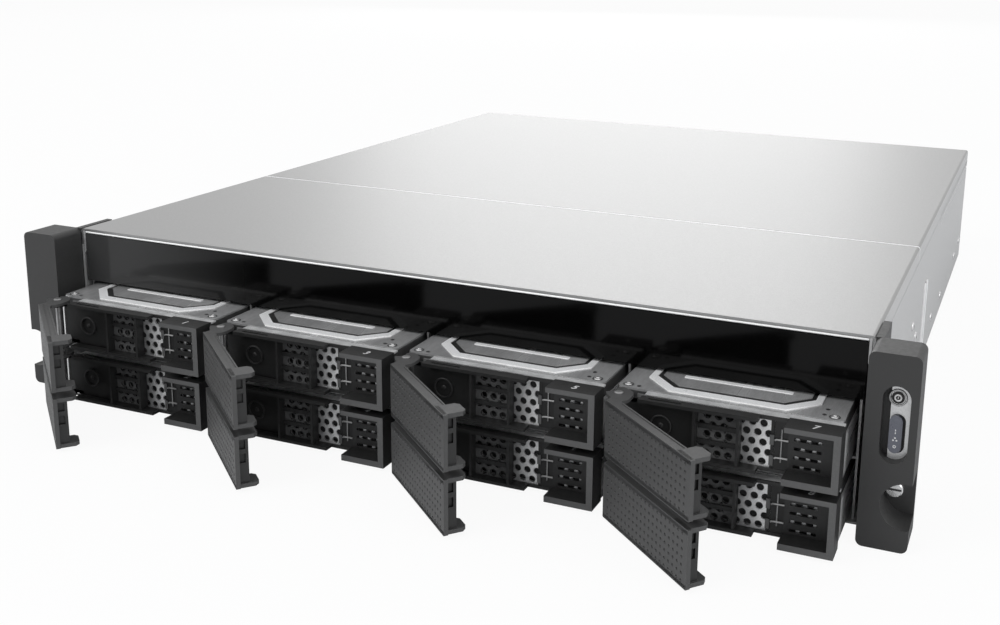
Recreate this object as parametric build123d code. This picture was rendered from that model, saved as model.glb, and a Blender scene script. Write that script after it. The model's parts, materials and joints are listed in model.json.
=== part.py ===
# Rack-mounted storage server, two rack units high, with eight hot-swap drive trays.
# Millimetres. X runs to the right, Y to the back and Z up. The origin is at mid-width, on the plane
# of the rack posts (the back faces of the ears) and on the underside of the case.
# The trays are drawn out and their levers stand open, as the server is shown.
from build123d import *
import os

# Sheet metal and clearances
sheet = 1.2
floor_lip = 1.5
clear = 0.3
running = 0.05

# Drive, of the three-and-a-half-inch form; the trays and the case are sized round it
drive_width = 101.6
drive_length = 147.0
drive_height = 25.4
drive_cover = 0.6
drive_plateau = 0.6
drive_cover_inset = 1.5
plateau_inset = 9.0
plateau_cut = 14.0

# Bays: columns and rows of trays
columns = 4
rows = 2
tray_side = 1.7
tray_rise = 0.5
tray_gap = 2.5
row_gap = 3.5
tray_out = 41.0
lever_angle = 41.0

# Case
side_margin = 4.5
case_depth = 520.0

# Covers
seam_y = 169.6
seam_gap = 0.4
lip_front = 9.0
lip_rear = 12.5
lip_step_y = 294.0
hem_depth = 8.0
hem_gap = 0.25
joggle = 1.6

# Fascia above the trays
fascia_gap = 1.5
fascia_height = 26.75
fascia_skin = 2.0
fascia_flange = 9.0

# Ears; with the case they span the width of a rack panel
ear_width = 21.8
ear_depth = 20.0
ear_corner = 3.0
ear_edge = 0.8
ear_plate = 3.0
strip_width = 3.5
strip_depth = 24.0
notch_radius = 10.55
notch_inset = 2.35
notch_z = 20.9
rack_screw_inset = 8.75
rack_screw_z = 21.8

# Control panel in the right ear
panel_inset = 9.2
panel_z = 57.0
panel_width = 11.6
panel_height = 34.4
panel_recess = 6.5
bezel_sheet = 1.5
bezel_step = 3.1
button_z = 67.6
button_radius = 2.6
button_collar = 3.9
button_sides = 16
button_proud = 0.8
button_travel = 1.0
lens_width = 5.4
lens_height = 16.7
lens_z = 51.6
lens_shift = 0.1
lens_proud = 1.6

# Tray bezel, from the front left lower corner of the tray
thumb_width = 23.6
bezel_depth = 11.6
thumb_wall = 3.0
thumb_top = 2.3
thumb_back = 1.2
thumb_floor_rise = 0.6
vent_start = 2.6
vent_length = 11.7
vent_height = 1.1
vent_pitch = 4.05
vent_count = 4
vent_first_z = 4.05
header_front = 5.8
header_top = 25.3
header_sheet = 1.6
header_slot_x = (19.4, 34.7)
header_slot_y = (7.6, 9.0)
rib_sheet = 1.2
rib_cell = 19.4
rib_y_depth = 5.4
back_sheet = 1.2
bar_z = (8.2, 15.4)
bar_height = 2.0
catch_cell = 12.4
right_cell = 9.2
post_inset = 7.8
post_width = 1.6
post_z = (3.4, 12.8)
post_height = 4.4
lug_sheet = 1.8
lug_radius = 3.6

# Lever
pivot_x = 5.5
pivot_y = 9.3
pin_radius = 1.5
pin_head_radius = 2.6
pin_head = 0.6
lever_gap = 0.9
lever_start = 6.0
lever_front = 10.0
lever_skin = 2.0
lever_flange = 1.5
lever_flange_drop = 0.5
lever_flange_depth = 5.4
lever_rail = 0.8
lever_ear_length = 10.0
lever_ear_inset = 1.0
lever_ear_back = 1.0
lever_ear_sheet = 2.0
lever_ear_chamfer = 1.8
lever_sweep = 10.4
claw_radius = 7.1
web_inset = 3.6
web_sheet = 1.5
window_width = 4.4
window_height = 4.8
window_z = (11.0, 18.6)
window_y = -3.4

# Catch
hook_z = (7.0, 15.2)
hook_reach = 5.0
hook_wire = 0.8

# Sled: the bent steel tray that carries the drive
sled_sheet = 0.8
sled_side = 19.0
sled_front_top = 25.2
sled_shelf_start = 16.5
sled_window_x = 22.0
sled_window_y = (30.0, 34.0)
sled_slot_y = (40.0, 110.0)
sled_slot_height = 3.0
sled_slot_z = 10.0
hole_across = 3.4
hole_pitch_x = 4.9
hole_pitch_z = 4.35
hole_first_z = 8.2
hole_rows = (3, 2, 3)

# Drive cage
cage_sheet = 1.0
guide_flange = 4.0
cage_front = 2.0
cage_behind = 6.0
cage_over_tray = 2.1

# Backplane
board = 1.6
plug_width = 36.0
plug_height = 5.0
backplane_vent_width = 44.0
backplane_vent_height = 9.0

# Fans
fan_size = 80.0
fan_depth = 25.4
fan_gap = 5.0
fan_pitch = 132.0
fan_count = 3
fan_bore = 38.0
fan_blade_radius = 36.8
fan_hub_radius = 18.0
fan_cup_wall = 3.0
fan_strut = 4.0
fan_strut_depth = 3.0
fan_shaft_radius = 1.5
fan_bore_sides = 12
fan_hub_sides = 10
fan_blades = 5
blade_sheet = 1.4
blade_chord = 19.0
blade_pitch_angle = 42.0

# Mainboard
main_left = 13.5
main_right = 45.0
main_front = 226.0
main_rear = 8.0
main_z = 7.2
standoff_across = 5.5
sink_size = 70.0
sink_x = -60.0
sink_y = 330.0
sink_base = 6.0
sink_height = 40.0
sink_fins = 8
sink_fin = 2.0
dimm_x = (-150.0, -140.0)
dimm_y = (290.0, 423.0)
dimm_socket_width = 6.5
dimm_socket_height = 8.0
dimm_height = 31.0
dimm_sheet = 2.4
jack_x = (-120.0, -94.0)
jack_width = 17.0
jack_depth = 21.0
jack_height = 29.0
jack_port_depth = 14.0
lan_port = (12.0, 9.0)
lan_port_z = 20.5
usb_port = (13.2, 5.2)
usb_port_z = (5.0, 12.2)

# Rear panel
vent_field_width = 190.0
vent_field_inset = 8.0
vent_field_z = (16.0, 76.0)
rear_vent_pitch = 19.0
rear_vent_width = 10.0
slot_cover_inset = 23.5
slot_cover_width = 18.5
slot_cover_pitch = 20.3
slot_cover_height = 64.0
slot_cover_count = 2

# Power supply modules
psu_width = 54.5
psu_headroom = 3.7
psu_gap = 2.4
psu_depth = 200.0
psu_inset = 36.5
psu_proud = 1.4
psu_handle = 26.0
psu_handle_wire = 5.0
psu_handle_x = 20.0
inlet_width = 24.0
inlet_height = 17.0
inlet_depth = 15.0
inlet_x = -12.0
inlet_pin_depth = 7.0
psu_vent_x = 12.0
psu_vent = 24.0
psu_vent_bars = 4

# Screws
side_screws = ((161.0, 44.0), (181.0, 32.0), (279.0, 15.0), (344.0, 12.0))
side_screws_rear = ((65.0, 14.0), (25.0, 17.0))
side_screw_head = 2.8
side_screw_sides = 8
side_screw_proud = 1.0
rack_screw_radius = 2.5
rack_screw_neck = 2.2
rack_screw_head = 3.8
rack_screw_head_depth = 2.6
rack_screw_length = 10.0
screw_slot = 1.0

# Sizes that follow from the ones above
tray_width = drive_width + 2 * tray_side
tray_height = drive_height + tray_rise
column_pitch = tray_width + tray_gap
row_pitch = tray_height + row_gap
half_width = columns * column_pitch / 2 + side_margin
ear_out = half_width + ear_width
wall_in = half_width - sheet
group_left = -((columns - 1) * column_pitch + tray_width) / 2
first_row_z = sheet + clear
trays_top = first_row_z + (rows - 1) * row_pitch + tray_height
fascia_bottom = trays_top + fascia_gap
fascia_top = fascia_bottom + fascia_height
cover_z = fascia_top + clear + sheet + hem_gap
case_height = cover_z + sheet
rack_screw_x = ear_out - rack_screw_inset
panel_x = ear_out - panel_inset
lens_x = panel_x + lens_shift
bezel_front_y = -ear_depth + panel_recess - bezel_sheet
thumb_x = tray_width - thumb_width
catch_cell_x = thumb_x - catch_cell
rib_x = (catch_cell_x - right_cell - rib_cell, catch_cell_x - right_cell)
post_x = thumb_x - post_inset
lever_reach = thumb_x - lever_gap - pivot_x
lever_ear_end = lever_reach - lever_ear_inset
lever_ear_start = lever_ear_end - lever_ear_length
web_x = lever_reach - web_inset
sled_front = bezel_depth + clear
drive_front = pivot_y + claw_radius + 2 * clear
cage_outer = (columns * column_pitch) / 2
cage_rear = drive_front + drive_length + cage_behind
cage_top = trays_top + cage_over_tray
fan_front = cage_rear + clear + board + fan_gap
fan_z = sheet + fan_size / 2
psu_height = (cover_z - psu_headroom - psu_gap - sheet - clear) / 2
psu_pitch = psu_height + psu_gap
psu_x = half_width - psu_inset
psu_rear = case_depth + psu_proud
main_x = (-half_width + main_left, psu_x - main_right)
main_y = (main_front, case_depth - main_rear)


def block(x, y, z):
    """Block between three pairs of limits."""
    size = Box(x[1] - x[0], y[1] - y[0], z[1] - z[0])
    return Pos((x[0] + x[1]) / 2, (y[0] + y[1]) / 2, (z[0] + z[1]) / 2) * size


def prism_z(face, z0, z1):
    """Plan outline, extruded from z0 up to z1."""
    return Pos(0, 0, z0) * extrude(face, amount=z1 - z0)


def prism_y(face, y0, y1):
    """Front outline, drawn in X and Z, extruded from y0 back to y1."""
    return Pos(0, y1, 0) * extrude(Plane.XZ * face, amount=y1 - y0)


def prism_x(face, x0, x1):
    """Side outline, drawn in Y and Z, extruded from x0 to x1."""
    return Pos(x0, 0, 0) * extrude(Plane.YZ * face, amount=x1 - x0)


def outline(*points):
    """Face inside a closed run of straight edges."""
    return make_face(Polyline(*points, close=True))


def both_sides(shape):
    """The shape and its mirror image across mid-width."""
    return shape + mirror(shape, about=Plane.YZ)


def slot_face(width, height):
    """Capsule standing on end."""
    return Rot(0, 0, 90) * SlotOverall(height, width)


def spread(first, last, count):
    """Evenly spaced values from first to last."""
    return [first + (last - first) * index / (count - 1) for index in range(count)]


# Case


def chassis_base():
    """Bent tray of the case, its walls joggled inwards under the covers' lips, and the board's standoffs."""
    lip_z = case_height - lip_front
    low_z = case_height - lip_rear
    half = outline(
        (0, 0),
        (half_width, 0),
        (half_width, low_z - joggle - clear),
        (wall_in - clear, low_z - clear),
        (wall_in - clear, cover_z),
        (wall_in - clear - sheet, cover_z),
        (wall_in - clear - sheet, low_z - clear),
        (wall_in, low_z - joggle - clear),
        (wall_in, sheet),
        (0, sheet),
    )
    base = both_sides(prism_y(half, 0, case_depth - sheet))
    base += both_sides(front_shoulder(lip_z, low_z))
    base += block((-wall_in, wall_in), (-floor_lip, 0), (0, sheet))
    base -= both_sides(side_slot())
    standoffs = [
        Pos(x, y, sheet) * extrude(RegularPolygon(standoff_across / 2, 6, major_radius=False), main_z - sheet)
        for x in spread(main_x[0] + 8, main_x[1] - 8, 3)
        for y in spread(main_y[0] + 8, main_y[1] - 8, 2)
    ]
    return [base, *standoffs]


def front_shoulder(lip_z, low_z):
    """The wall stands higher where the covers' lips are short, ahead of the step in the lip."""
    return block((wall_in, half_width), (0, lip_step_y - clear), (low_z - joggle - 2 * clear, lip_z - clear))


def side_slot():
    """Tall narrow slot in the side wall, behind the drive cage."""
    return prism_x(Pos(223, 29.5) * slot_face(4.0, 49.0), wall_in - sheet, half_width + sheet)


def cover(y0, y1, lips):
    """Top sheet with side lips; lips is a list of (start, end, depth)."""
    shape = block((-half_width, half_width), (y0, y1), (cover_z, case_height))
    for start, end, depth in lips:
        lip = block((wall_in, half_width), (start, end), (case_height - depth, cover_z))
        shape += both_sides(lip)
    return shape


def front_cover():
    """Front part of the lid, with its front edge folded under itself."""
    shape = cover(0, seam_y - seam_gap, [(0, seam_y - seam_gap, lip_front)])
    hem_z = cover_z - hem_gap
    inner = wall_in - sheet - 2 * clear
    shape += block((-inner, inner), (0, hem_depth), (hem_z - sheet, hem_z))
    return shape + block((-inner, inner), (hem_depth - sheet, hem_depth), (hem_z - sheet, cover_z))


def rear_cover():
    """Rear part of the lid; its side lips are deeper towards the back."""
    return cover(seam_y, case_depth, [(seam_y, lip_step_y, lip_front), (lip_step_y, case_depth, lip_rear)])


def fascia():
    """Glossy bar over the trays: a shallow moulding, open at the back."""
    x = wall_in - sheet - 2 * clear
    shell = block((-x, x), (0, fascia_flange), (fascia_bottom, fascia_top))
    wall = fascia_skin
    inside_z = (fascia_bottom + wall, fascia_top - wall)
    hollow = block((-x + wall, x - wall), (wall, fascia_flange + 1), inside_z)
    return chamfer((shell - hollow).edges().group_by(Axis.Y)[0], 0.5)


def drive_cage():
    """Uprights between the columns of trays, the guide rails on them and the plate over them."""
    length = (cage_front, cage_rear)
    guide_top = first_row_z + row_pitch - clear
    half = cage_sheet / 2
    pieces = []
    for index in range(columns + 1):
        x = -cage_outer + index * column_pitch
        pieces.append(block((x - half, x + half), length, (sheet, cage_top - cage_sheet)))
        if index > 0:
            pieces.append(block((x - guide_flange, x - half), length, (guide_top - cage_sheet, guide_top)))
        if index < columns:
            pieces.append(block((x + half, x + guide_flange), length, (guide_top - cage_sheet, guide_top)))
    edge = cage_outer + half
    plate_y = (fascia_flange + clear, cage_rear)
    pieces.append(block((-edge, edge), plate_y, (cage_top - cage_sheet, cage_top)))
    return pieces


def backplane():
    """Circuit board behind the drives, with one plug for each and slots that let air through."""
    y = cage_rear + clear
    edge = cage_outer - cage_sheet
    panel = block((-edge, edge), (y, y + board), (sheet, cage_top))
    plugs = Part()
    for column in range(columns):
        x = group_left + column * column_pitch + tray_width / 2
        for row in range(rows):
            z = first_row_z + row * row_pitch
            depth = y - (drive_front + drive_length + clear)
            plug_z = (z + 2.4, z + 2.4 + plug_height)
            plugs += block((x - plug_width / 2 - 12, x + plug_width / 2 - 12), (y - depth, y), plug_z)
            vent_x = (x - backplane_vent_width / 2, x + backplane_vent_width / 2)
            vent_z = (z + 12, z + 12 + backplane_vent_height)
            panel -= block(vent_x, (y - 1, y + board + 1), vent_z)
    return panel + plugs


# Ears and controls


def ear_blank():
    """Right-hand ear: deep moulded cap, finger notch round the rack screw and side strip."""
    width = ear_out - half_width
    face = Pos(half_width + width / 2, case_height / 2) * RectangleRounded(width, case_height, ear_corner)
    cap = prism_y(face, -ear_depth, 0)
    cap = chamfer(cap.edges().group_by(Axis.Y)[0], ear_edge)
    notch = Pos(ear_out - notch_inset, notch_z) * Circle(notch_radius)
    cap -= prism_y(notch, -ear_depth, -ear_plate)
    hole = RegularPolygon(rack_screw_radius + clear, 8, major_radius=False)
    cap -= prism_y(Pos(rack_screw_x, rack_screw_z) * hole, -ear_plate, 0)
    strip = block((half_width, half_width + strip_width), (0, strip_depth), (0, case_height))
    return cap + strip


def ear_right():
    """Ear with the capsule-shaped recess of the control panel."""
    floor_y = -ear_depth + panel_recess
    recess = Pos(panel_x, panel_z) * slot_face(panel_width, panel_height)
    ear = ear_blank() - prism_y(recess, -ear_depth, floor_y)
    guide = Pos(panel_x, button_z) * RegularPolygon(button_radius + clear, button_sides, major_radius=False)
    return ear - prism_y(guide, floor_y - 1, floor_y + button_travel + clear)


def control_bezel():
    """Bright plate on the floor of the recess, with a collar round the button."""
    inset = Pos(panel_x, panel_z) * slot_face(panel_width - 2 * running, panel_height - 2 * running)
    keep = Pos(panel_x + bezel_step, panel_z) * Rectangle(panel_width, panel_height)
    plate = prism_y(inset & keep, bezel_front_y, bezel_front_y + bezel_sheet)
    collar = Pos(panel_x, button_z) * RegularPolygon(button_collar, button_sides)
    plate += prism_y(collar, bezel_front_y - button_proud / 2, bezel_front_y + bezel_sheet)
    bore = Pos(panel_x, button_z) * RegularPolygon(button_radius + clear, button_sides, major_radius=False)
    plate -= prism_y(bore, bezel_front_y - 2, bezel_front_y + 2 * bezel_sheet)
    pocket = Pos(lens_x, lens_z) * slot_face(lens_width + 2 * running, lens_height + 2 * running)
    return plate - prism_y(pocket, bezel_front_y - 1, bezel_front_y + 2 * bezel_sheet)


def power_button():
    """Round push button, proud of its collar."""
    face = Pos(panel_x, button_z) * Circle(button_radius)
    return prism_y(face, bezel_front_y - button_proud, bezel_front_y + bezel_sheet)


def indicator_lens():
    """Capsule lens over the indicator lamps, proud of its bezel."""
    face = Pos(lens_x, lens_z) * slot_face(lens_width, lens_height)
    return prism_y(face, bezel_front_y - lens_proud, bezel_front_y + bezel_sheet)


# One bay: every piece is drawn from the front left lower corner of its tray


def tray_bezel():
    """Moulded front of the tray: header, ribbed recess behind the lever, pivot lugs, thumb box."""
    back = (bezel_depth - back_sheet, bezel_depth)
    header_low = header_top - header_sheet
    strip_start = pivot_x + lever_sweep
    strip = outline(
        (strip_start, header_front),
        (catch_cell_x, header_front),
        (catch_cell_x, bezel_depth - 1.0),
        (thumb_x, bezel_depth - 1.0),
        (thumb_x, bezel_depth),
        (strip_start, bezel_depth),
    )
    top = prism_z(strip, header_low, header_top)
    bottom = prism_z(strip, 0.3, 0.3 + header_sheet)
    slot = block(header_slot_x, header_slot_y, (header_low - 1, header_top + 1))
    wall = block((pivot_x + lug_radius, rib_x[0]), back, (lever_ear_sheet + clear, header_low))
    wall += block((strip_start, rib_x[0]), back, (0.3, header_low))
    shape = top - slot + bottom + wall
    for x in rib_x:
        shape += block((x, x + rib_sheet), (bezel_depth - rib_y_depth, bezel_depth), (0.3, header_low))
    for z in bar_z:
        shape += block((rib_x[0], rib_x[1]), (bezel_depth - 2, bezel_depth - 0.8), (z, z + bar_height))
    for z in post_z:
        shape += block((post_x, post_x + post_width), (bezel_depth - 1.0, bezel_depth), (z, z + post_height))
    shape += block((post_x, post_x + post_width), (bezel_depth - 0.5, bezel_depth), (0.3, header_low))
    return shape + pivot_lugs() + thumb_box()


def pivot_lugs():
    """Two lugs that hold the lever's pin, between the lever's flanges."""
    reach = pivot_x + lever_sweep + 2
    corner = lug_radius / 2
    front = pivot_y - lug_radius
    lug = outline(
        (pivot_x - lug_radius, bezel_depth),
        (pivot_x - lug_radius, front + corner),
        (pivot_x - corner, front),
        (pivot_x + corner, front),
        (pivot_x + lug_radius, front + corner),
        (pivot_x + lug_radius, bezel_depth - back_sheet),
        (reach, bezel_depth - back_sheet),
        (reach, bezel_depth),
    )
    lug -= Pos(pivot_x, pivot_y) * RegularPolygon(pin_radius, 6, major_radius=False)
    low = lever_ear_sheet + clear
    high = tray_height - lever_flange - lever_flange_drop - clear
    return prism_z(lug, low, low + lug_sheet) + prism_z(lug, high - lug_sheet, high)


def thumb_box():
    """Open box at the right of the tray: the thumb presses here on the catch."""
    box = block((thumb_x, tray_width), (0, bezel_depth), (0, tray_height))
    inner_top = tray_height - thumb_top
    inner_back = bezel_depth - thumb_back
    cavity = outline(
        (-1, thumb_wall),
        (inner_back, thumb_wall + thumb_floor_rise),
        (inner_back, inner_top),
        (-1, inner_top),
    )
    box -= prism_x(cavity, thumb_x - 1, tray_width - thumb_wall)
    vent_x = thumb_x + vent_start
    for index in range(vent_count):
        z = vent_first_z + index * vent_pitch
        box -= block((vent_x, vent_x + vent_length), (inner_back - 1, bezel_depth + 1), (z, z + vent_height))
    return box


def lever_outline():
    """Plan of the lever's flange, closed, measured from the pivot."""
    ear_corner_x = lever_ear_end - lever_ear_chamfer
    ear_corner_y = lever_ear_back - lever_ear_chamfer
    flange_back = lever_flange_depth - lever_front
    return outline(
        (lever_start, -lever_front),
        (lever_reach, -lever_front),
        (lever_reach, -lever_front + lever_skin),
        (lever_ear_end, -lever_front + lever_skin),
        (lever_ear_end, ear_corner_y),
        (ear_corner_x, lever_ear_back),
        (lever_ear_start + lever_ear_chamfer, lever_ear_back),
        (lever_ear_start, ear_corner_y),
        (lever_ear_start, flange_back),
        (11.5, flange_back),
        (9.4, -3.8),
        (9.4, -1.0),
        (5.6, 4.0),
        (1.6, 6.2),
        (-4.4, 5.5),
        (-5.4, 2.0),
        (-2.8, 0.6),
        (-2.8, -1.8),
        (-4.0, -4.4),
        (3.4, -5.9),
    )


def lever():
    """Tray lever, closed: dimpled plate, flanges with the claw, end ears and slotted end web."""
    plan = lever_outline() - RegularPolygon(pin_radius + running, 8, major_radius=False)
    top = tray_height - lever_flange_drop
    shape = prism_z(plan, top - lever_flange, top)
    shape += prism_z(plan, lever_flange_drop, lever_flange_drop + lever_flange)
    plate_y = (-lever_front, -lever_front + lever_skin)
    shape += block((lever_start, lever_reach), plate_y, (0, tray_height))
    rail_y = lever_flange_depth - lever_front
    shape += block((12.5, lever_ear_start), (rail_y - lever_rail, rail_y), (top, tray_height))
    ear_x = (lever_ear_start, lever_ear_end)
    ear_y = (-lever_front, lever_ear_back - lever_ear_chamfer)
    shape += block(ear_x, ear_y, (tray_height - lever_ear_sheet, tray_height))
    shape += block(ear_x, ear_y, (0, lever_ear_sheet))
    web_z = (lever_ear_sheet, tray_height - lever_ear_sheet)
    web = block((web_x, web_x + web_sheet), (-lever_front, 0), web_z)
    for z in window_z:
        window_x = (web_x - 1, web_x + web_sheet + 1)
        across = (window_y - window_width / 2, window_y + window_width / 2)
        web -= block(window_x, across, (z - window_height / 2, z + window_height / 2))
    return shape + web


def hardware():
    """Pivot pin with its flat head, and the two hooks of the catch beside the thumb box."""
    top = tray_height - lever_flange_drop + running
    pin = prism_z(Pos(pivot_x, pivot_y) * Circle(pin_radius), lever_flange_drop, top)
    pin += prism_z(Pos(pivot_x, pivot_y) * RegularPolygon(pin_head_radius, 10), top, top + pin_head)
    y = (bezel_depth - hook_wire - 0.1, bezel_depth - 0.1)
    hooks = [block((thumb_x - hook_reach, thumb_x), y, (z, z + hook_wire)) for z in hook_z]
    return [pin, *hooks]


def perforations():
    """Staggered six-sided holes in the open cell left of the thumb box, as a face in X and Z."""
    hole = RegularPolygon(hole_across / 2, 6, major_radius=False)
    middle = (rib_x[1] + rib_sheet + thumb_x - post_inset) / 2 + 0.7
    field = Sketch()
    for row, count in enumerate(hole_rows):
        z = hole_first_z + row * hole_pitch_z
        for column in range(count):
            field += Pos(middle + (column - (count - 1) / 2) * hole_pitch_x, z) * hole
    return field


def sled():
    """Bent steel tray: floor, sides and a perforated upstand behind the bezel."""
    left = tray_side - sled_sheet
    right = tray_width - left
    rear = drive_front + drive_length
    section = outline(
        (left, 0),
        (right, 0),
        (right, sled_side),
        (right - sled_sheet, sled_side),
        (right - sled_sheet, sled_sheet),
        (left + sled_sheet, sled_sheet),
        (left + sled_sheet, sled_side),
        (left, sled_side),
    )
    shape = prism_y(section, sled_front, rear)
    shape += block((left, right), (sled_front, sled_front + sled_sheet), (0, sled_front_top))
    shelf_x = (sled_shelf_start, right)
    shelf_y = (sled_front, drive_front - clear)
    shape += block(shelf_x, shelf_y, (sled_front_top - sled_sheet, sled_front_top))
    shape -= prism_y(perforations(), sled_front - 1, sled_front + sled_sheet + 1)
    claw_reach = claw_radius + clear
    shape -= block((-1, pivot_x + claw_reach), (0, pivot_y + claw_reach), (-1, tray_height))
    window = block(
        (left + sled_window_x, right - sled_window_x),
        (sled_front + sled_window_y[0], rear - sled_window_y[1]),
        (-1, sled_sheet + 1),
    )
    shape -= window
    slot_z = (sled_slot_z, sled_slot_z + sled_slot_height)
    return shape - block((left - 1, right + 1), sled_slot_y, slot_z)


def drive():
    """Disk drive: cast base, lid and the raised plateau pressed into the lid."""
    x = (tray_side, tray_side + drive_width)
    y = (drive_front, drive_front + drive_length)
    low = sled_sheet
    high = low + drive_height
    shape = block(x, y, (low, high - drive_cover - drive_plateau))
    inset = drive_cover_inset
    lid_z = (high - drive_cover - drive_plateau, high - drive_plateau)
    shape += block((x[0] + inset, x[1] - inset), (y[0] + inset, y[1] - inset), lid_z)
    in_x = (x[0] + plateau_inset, x[1] - plateau_inset)
    in_y = (y[0] + plateau_inset / 2, y[1] - plateau_inset)
    cut = plateau_cut
    raised = outline(
        (in_x[0] + cut, in_y[0]),
        (in_x[1] - cut, in_y[0]),
        (in_x[1], in_y[0] + cut),
        (in_x[1], in_y[1] - cut),
        (in_x[1] - cut, in_y[1]),
        (in_x[0] + cut, in_y[1]),
        (in_x[0], in_y[1] - cut),
        (in_x[0], in_y[0] + cut),
    )
    return shape + prism_z(raised, lid_z[1], high)


def open_lever(closed):
    """The lever turned open about its pin and set in the tray."""
    return Pos(pivot_x, pivot_y, 0) * Rot(0, 0, -lever_angle) * closed


# Inside and rear


def fan_centres():
    """X of each fan."""
    return [(index - (fan_count - 1) / 2) * fan_pitch for index in range(fan_count)]


def fan_frame():
    """Square fan frame, centred, with a motor cup held by four struts on its rear face."""
    bore = RegularPolygon(fan_bore, fan_bore_sides, major_radius=False)
    frame = prism_y(Rectangle(fan_size, fan_size) - bore, 0, fan_depth)
    rear = (fan_depth - fan_strut_depth, fan_depth)
    struts = Rectangle(2 * fan_bore + 2, fan_strut) + Rectangle(fan_strut, 2 * fan_bore + 2)
    frame += prism_y(struts + RegularPolygon(fan_hub_radius, fan_hub_sides), *rear)
    sleeve = RegularPolygon(fan_cup_wall + fan_shaft_radius, 8)
    frame += prism_y(sleeve, fan_depth - 4 * fan_strut_depth, fan_depth)
    bearing = RegularPolygon(fan_shaft_radius + running, 8, major_radius=False)
    return frame - prism_y(bearing, -1, fan_depth + 1)


def fan_rotor():
    """Hub cup with its shaft and raked blades, centred."""
    back = fan_depth - fan_strut_depth - 1.0
    hub = prism_y(RegularPolygon(fan_hub_radius, fan_hub_sides), 2.0, back)
    hub -= prism_y(RegularPolygon(fan_hub_radius - fan_cup_wall, fan_hub_sides), 2.0 + fan_cup_wall, back)
    hub += prism_y(Circle(fan_shaft_radius), 2.0, fan_depth - 1.0)
    span = fan_blade_radius - fan_hub_radius + fan_cup_wall / 2
    middle = (fan_blade_radius + fan_hub_radius - fan_cup_wall / 2) / 2
    raked = Rot(blade_pitch_angle, 0, 0) * Box(span, blade_sheet, blade_chord)
    blade = Pos(middle, (back + 2.0) / 2, 0) * raked
    for index in range(fan_blades):
        hub += Rot(0, 360 * index / fan_blades, 0) * blade
    return hub


def heatsink():
    """Comb of fins on a base, as one front outline."""
    pitch = (sink_size - sink_fin) / (sink_fins - 1)
    comb = Pos(0, sink_base / 2) * Rectangle(sink_size, sink_base)
    for index in range(sink_fins):
        x = -sink_size / 2 + sink_fin / 2 + index * pitch
        comb += Pos(x, sink_height / 2) * Rectangle(sink_fin, sink_height)
    return prism_y(comb, -sink_size / 2, sink_size / 2)


def jack():
    """Stacked network and serial-bus sockets, opening to the rear; x from its middle."""
    back = case_depth
    body = block((-jack_width / 2, jack_width / 2), (back - jack_depth, back), (0, jack_height))
    ports = [(lan_port, lan_port_z)]
    ports += [(usb_port, z) for z in usb_port_z]
    for (width, height), z in ports:
        across = (-width / 2, width / 2)
        body -= block(across, (back - jack_port_depth, back + 1), (z - height / 2, z + height / 2))
    return body


def mainboard():
    """Circuit board with heatsink, memory in its sockets and the rear jacks."""
    top = main_z + board
    plate = block(main_x, main_y, (main_z, top))
    sink = Pos(sink_x, sink_y, top) * heatsink()
    pieces = [plate, sink]
    for x in dimm_x:
        half = dimm_socket_width / 2
        socket = block((x - half, x + half), dimm_y, (top, top + dimm_socket_height))
        stick = block((x - dimm_sheet / 2, x + dimm_sheet / 2), dimm_y, (top + 3, top + dimm_height))
        pieces.append(socket + stick)
    pieces += [Pos(x, 0, top) * jack() for x in jack_x]
    return pieces


def psu_low_z():
    """Height of each power supply module's underside."""
    return [sheet + clear + index * psu_pitch for index in range(2)]


def rear_panel():
    """Rear wall with its openings, and the walls of the power supply bay behind it."""
    y = (case_depth - sheet, case_depth)
    edge = wall_in - sheet - clear
    panel = block((-edge, edge), y, (0, cover_z))
    cut_y = (y[0] - 1, y[1] + 1)
    bay_x = (psu_x - psu_width / 2 - clear, psu_x + psu_width / 2 + clear)
    for z in psu_low_z():
        panel -= block(bay_x, cut_y, (z - clear, z + psu_height + clear))
    top = main_z + board
    for x in jack_x:
        half = jack_width / 2 + clear
        panel -= block((x - half, x + half), cut_y, (top - clear, top + jack_height + clear))
    vents_end = main_x[1] - vent_field_inset
    count = int(vent_field_width / rear_vent_pitch) + 1
    vents = [
        block((x, x + rear_vent_width), cut_y, vent_field_z)
        for x in spread(vents_end - vent_field_width, vents_end - rear_vent_width, count)
    ]
    panel -= vents
    for index in range(slot_cover_count):
        x = -half_width + slot_cover_inset + index * slot_cover_pitch
        panel += block((x, x + slot_cover_width), (y[1], y[1] + 0.8), (11.0, 11.0 + slot_cover_height))
    bay_y = (y[1] - psu_depth, y[1])
    wall_z = (sheet, cover_z - clear)
    panel += block((bay_x[0] - cage_sheet, bay_x[0]), bay_y, wall_z)
    panel += block((bay_x[1], bay_x[1] + cage_sheet), bay_y, wall_z)
    shelf_z = psu_low_z()[1] - clear
    return panel + block(bay_x, bay_y, (shelf_z - cage_sheet, shelf_z))


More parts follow.
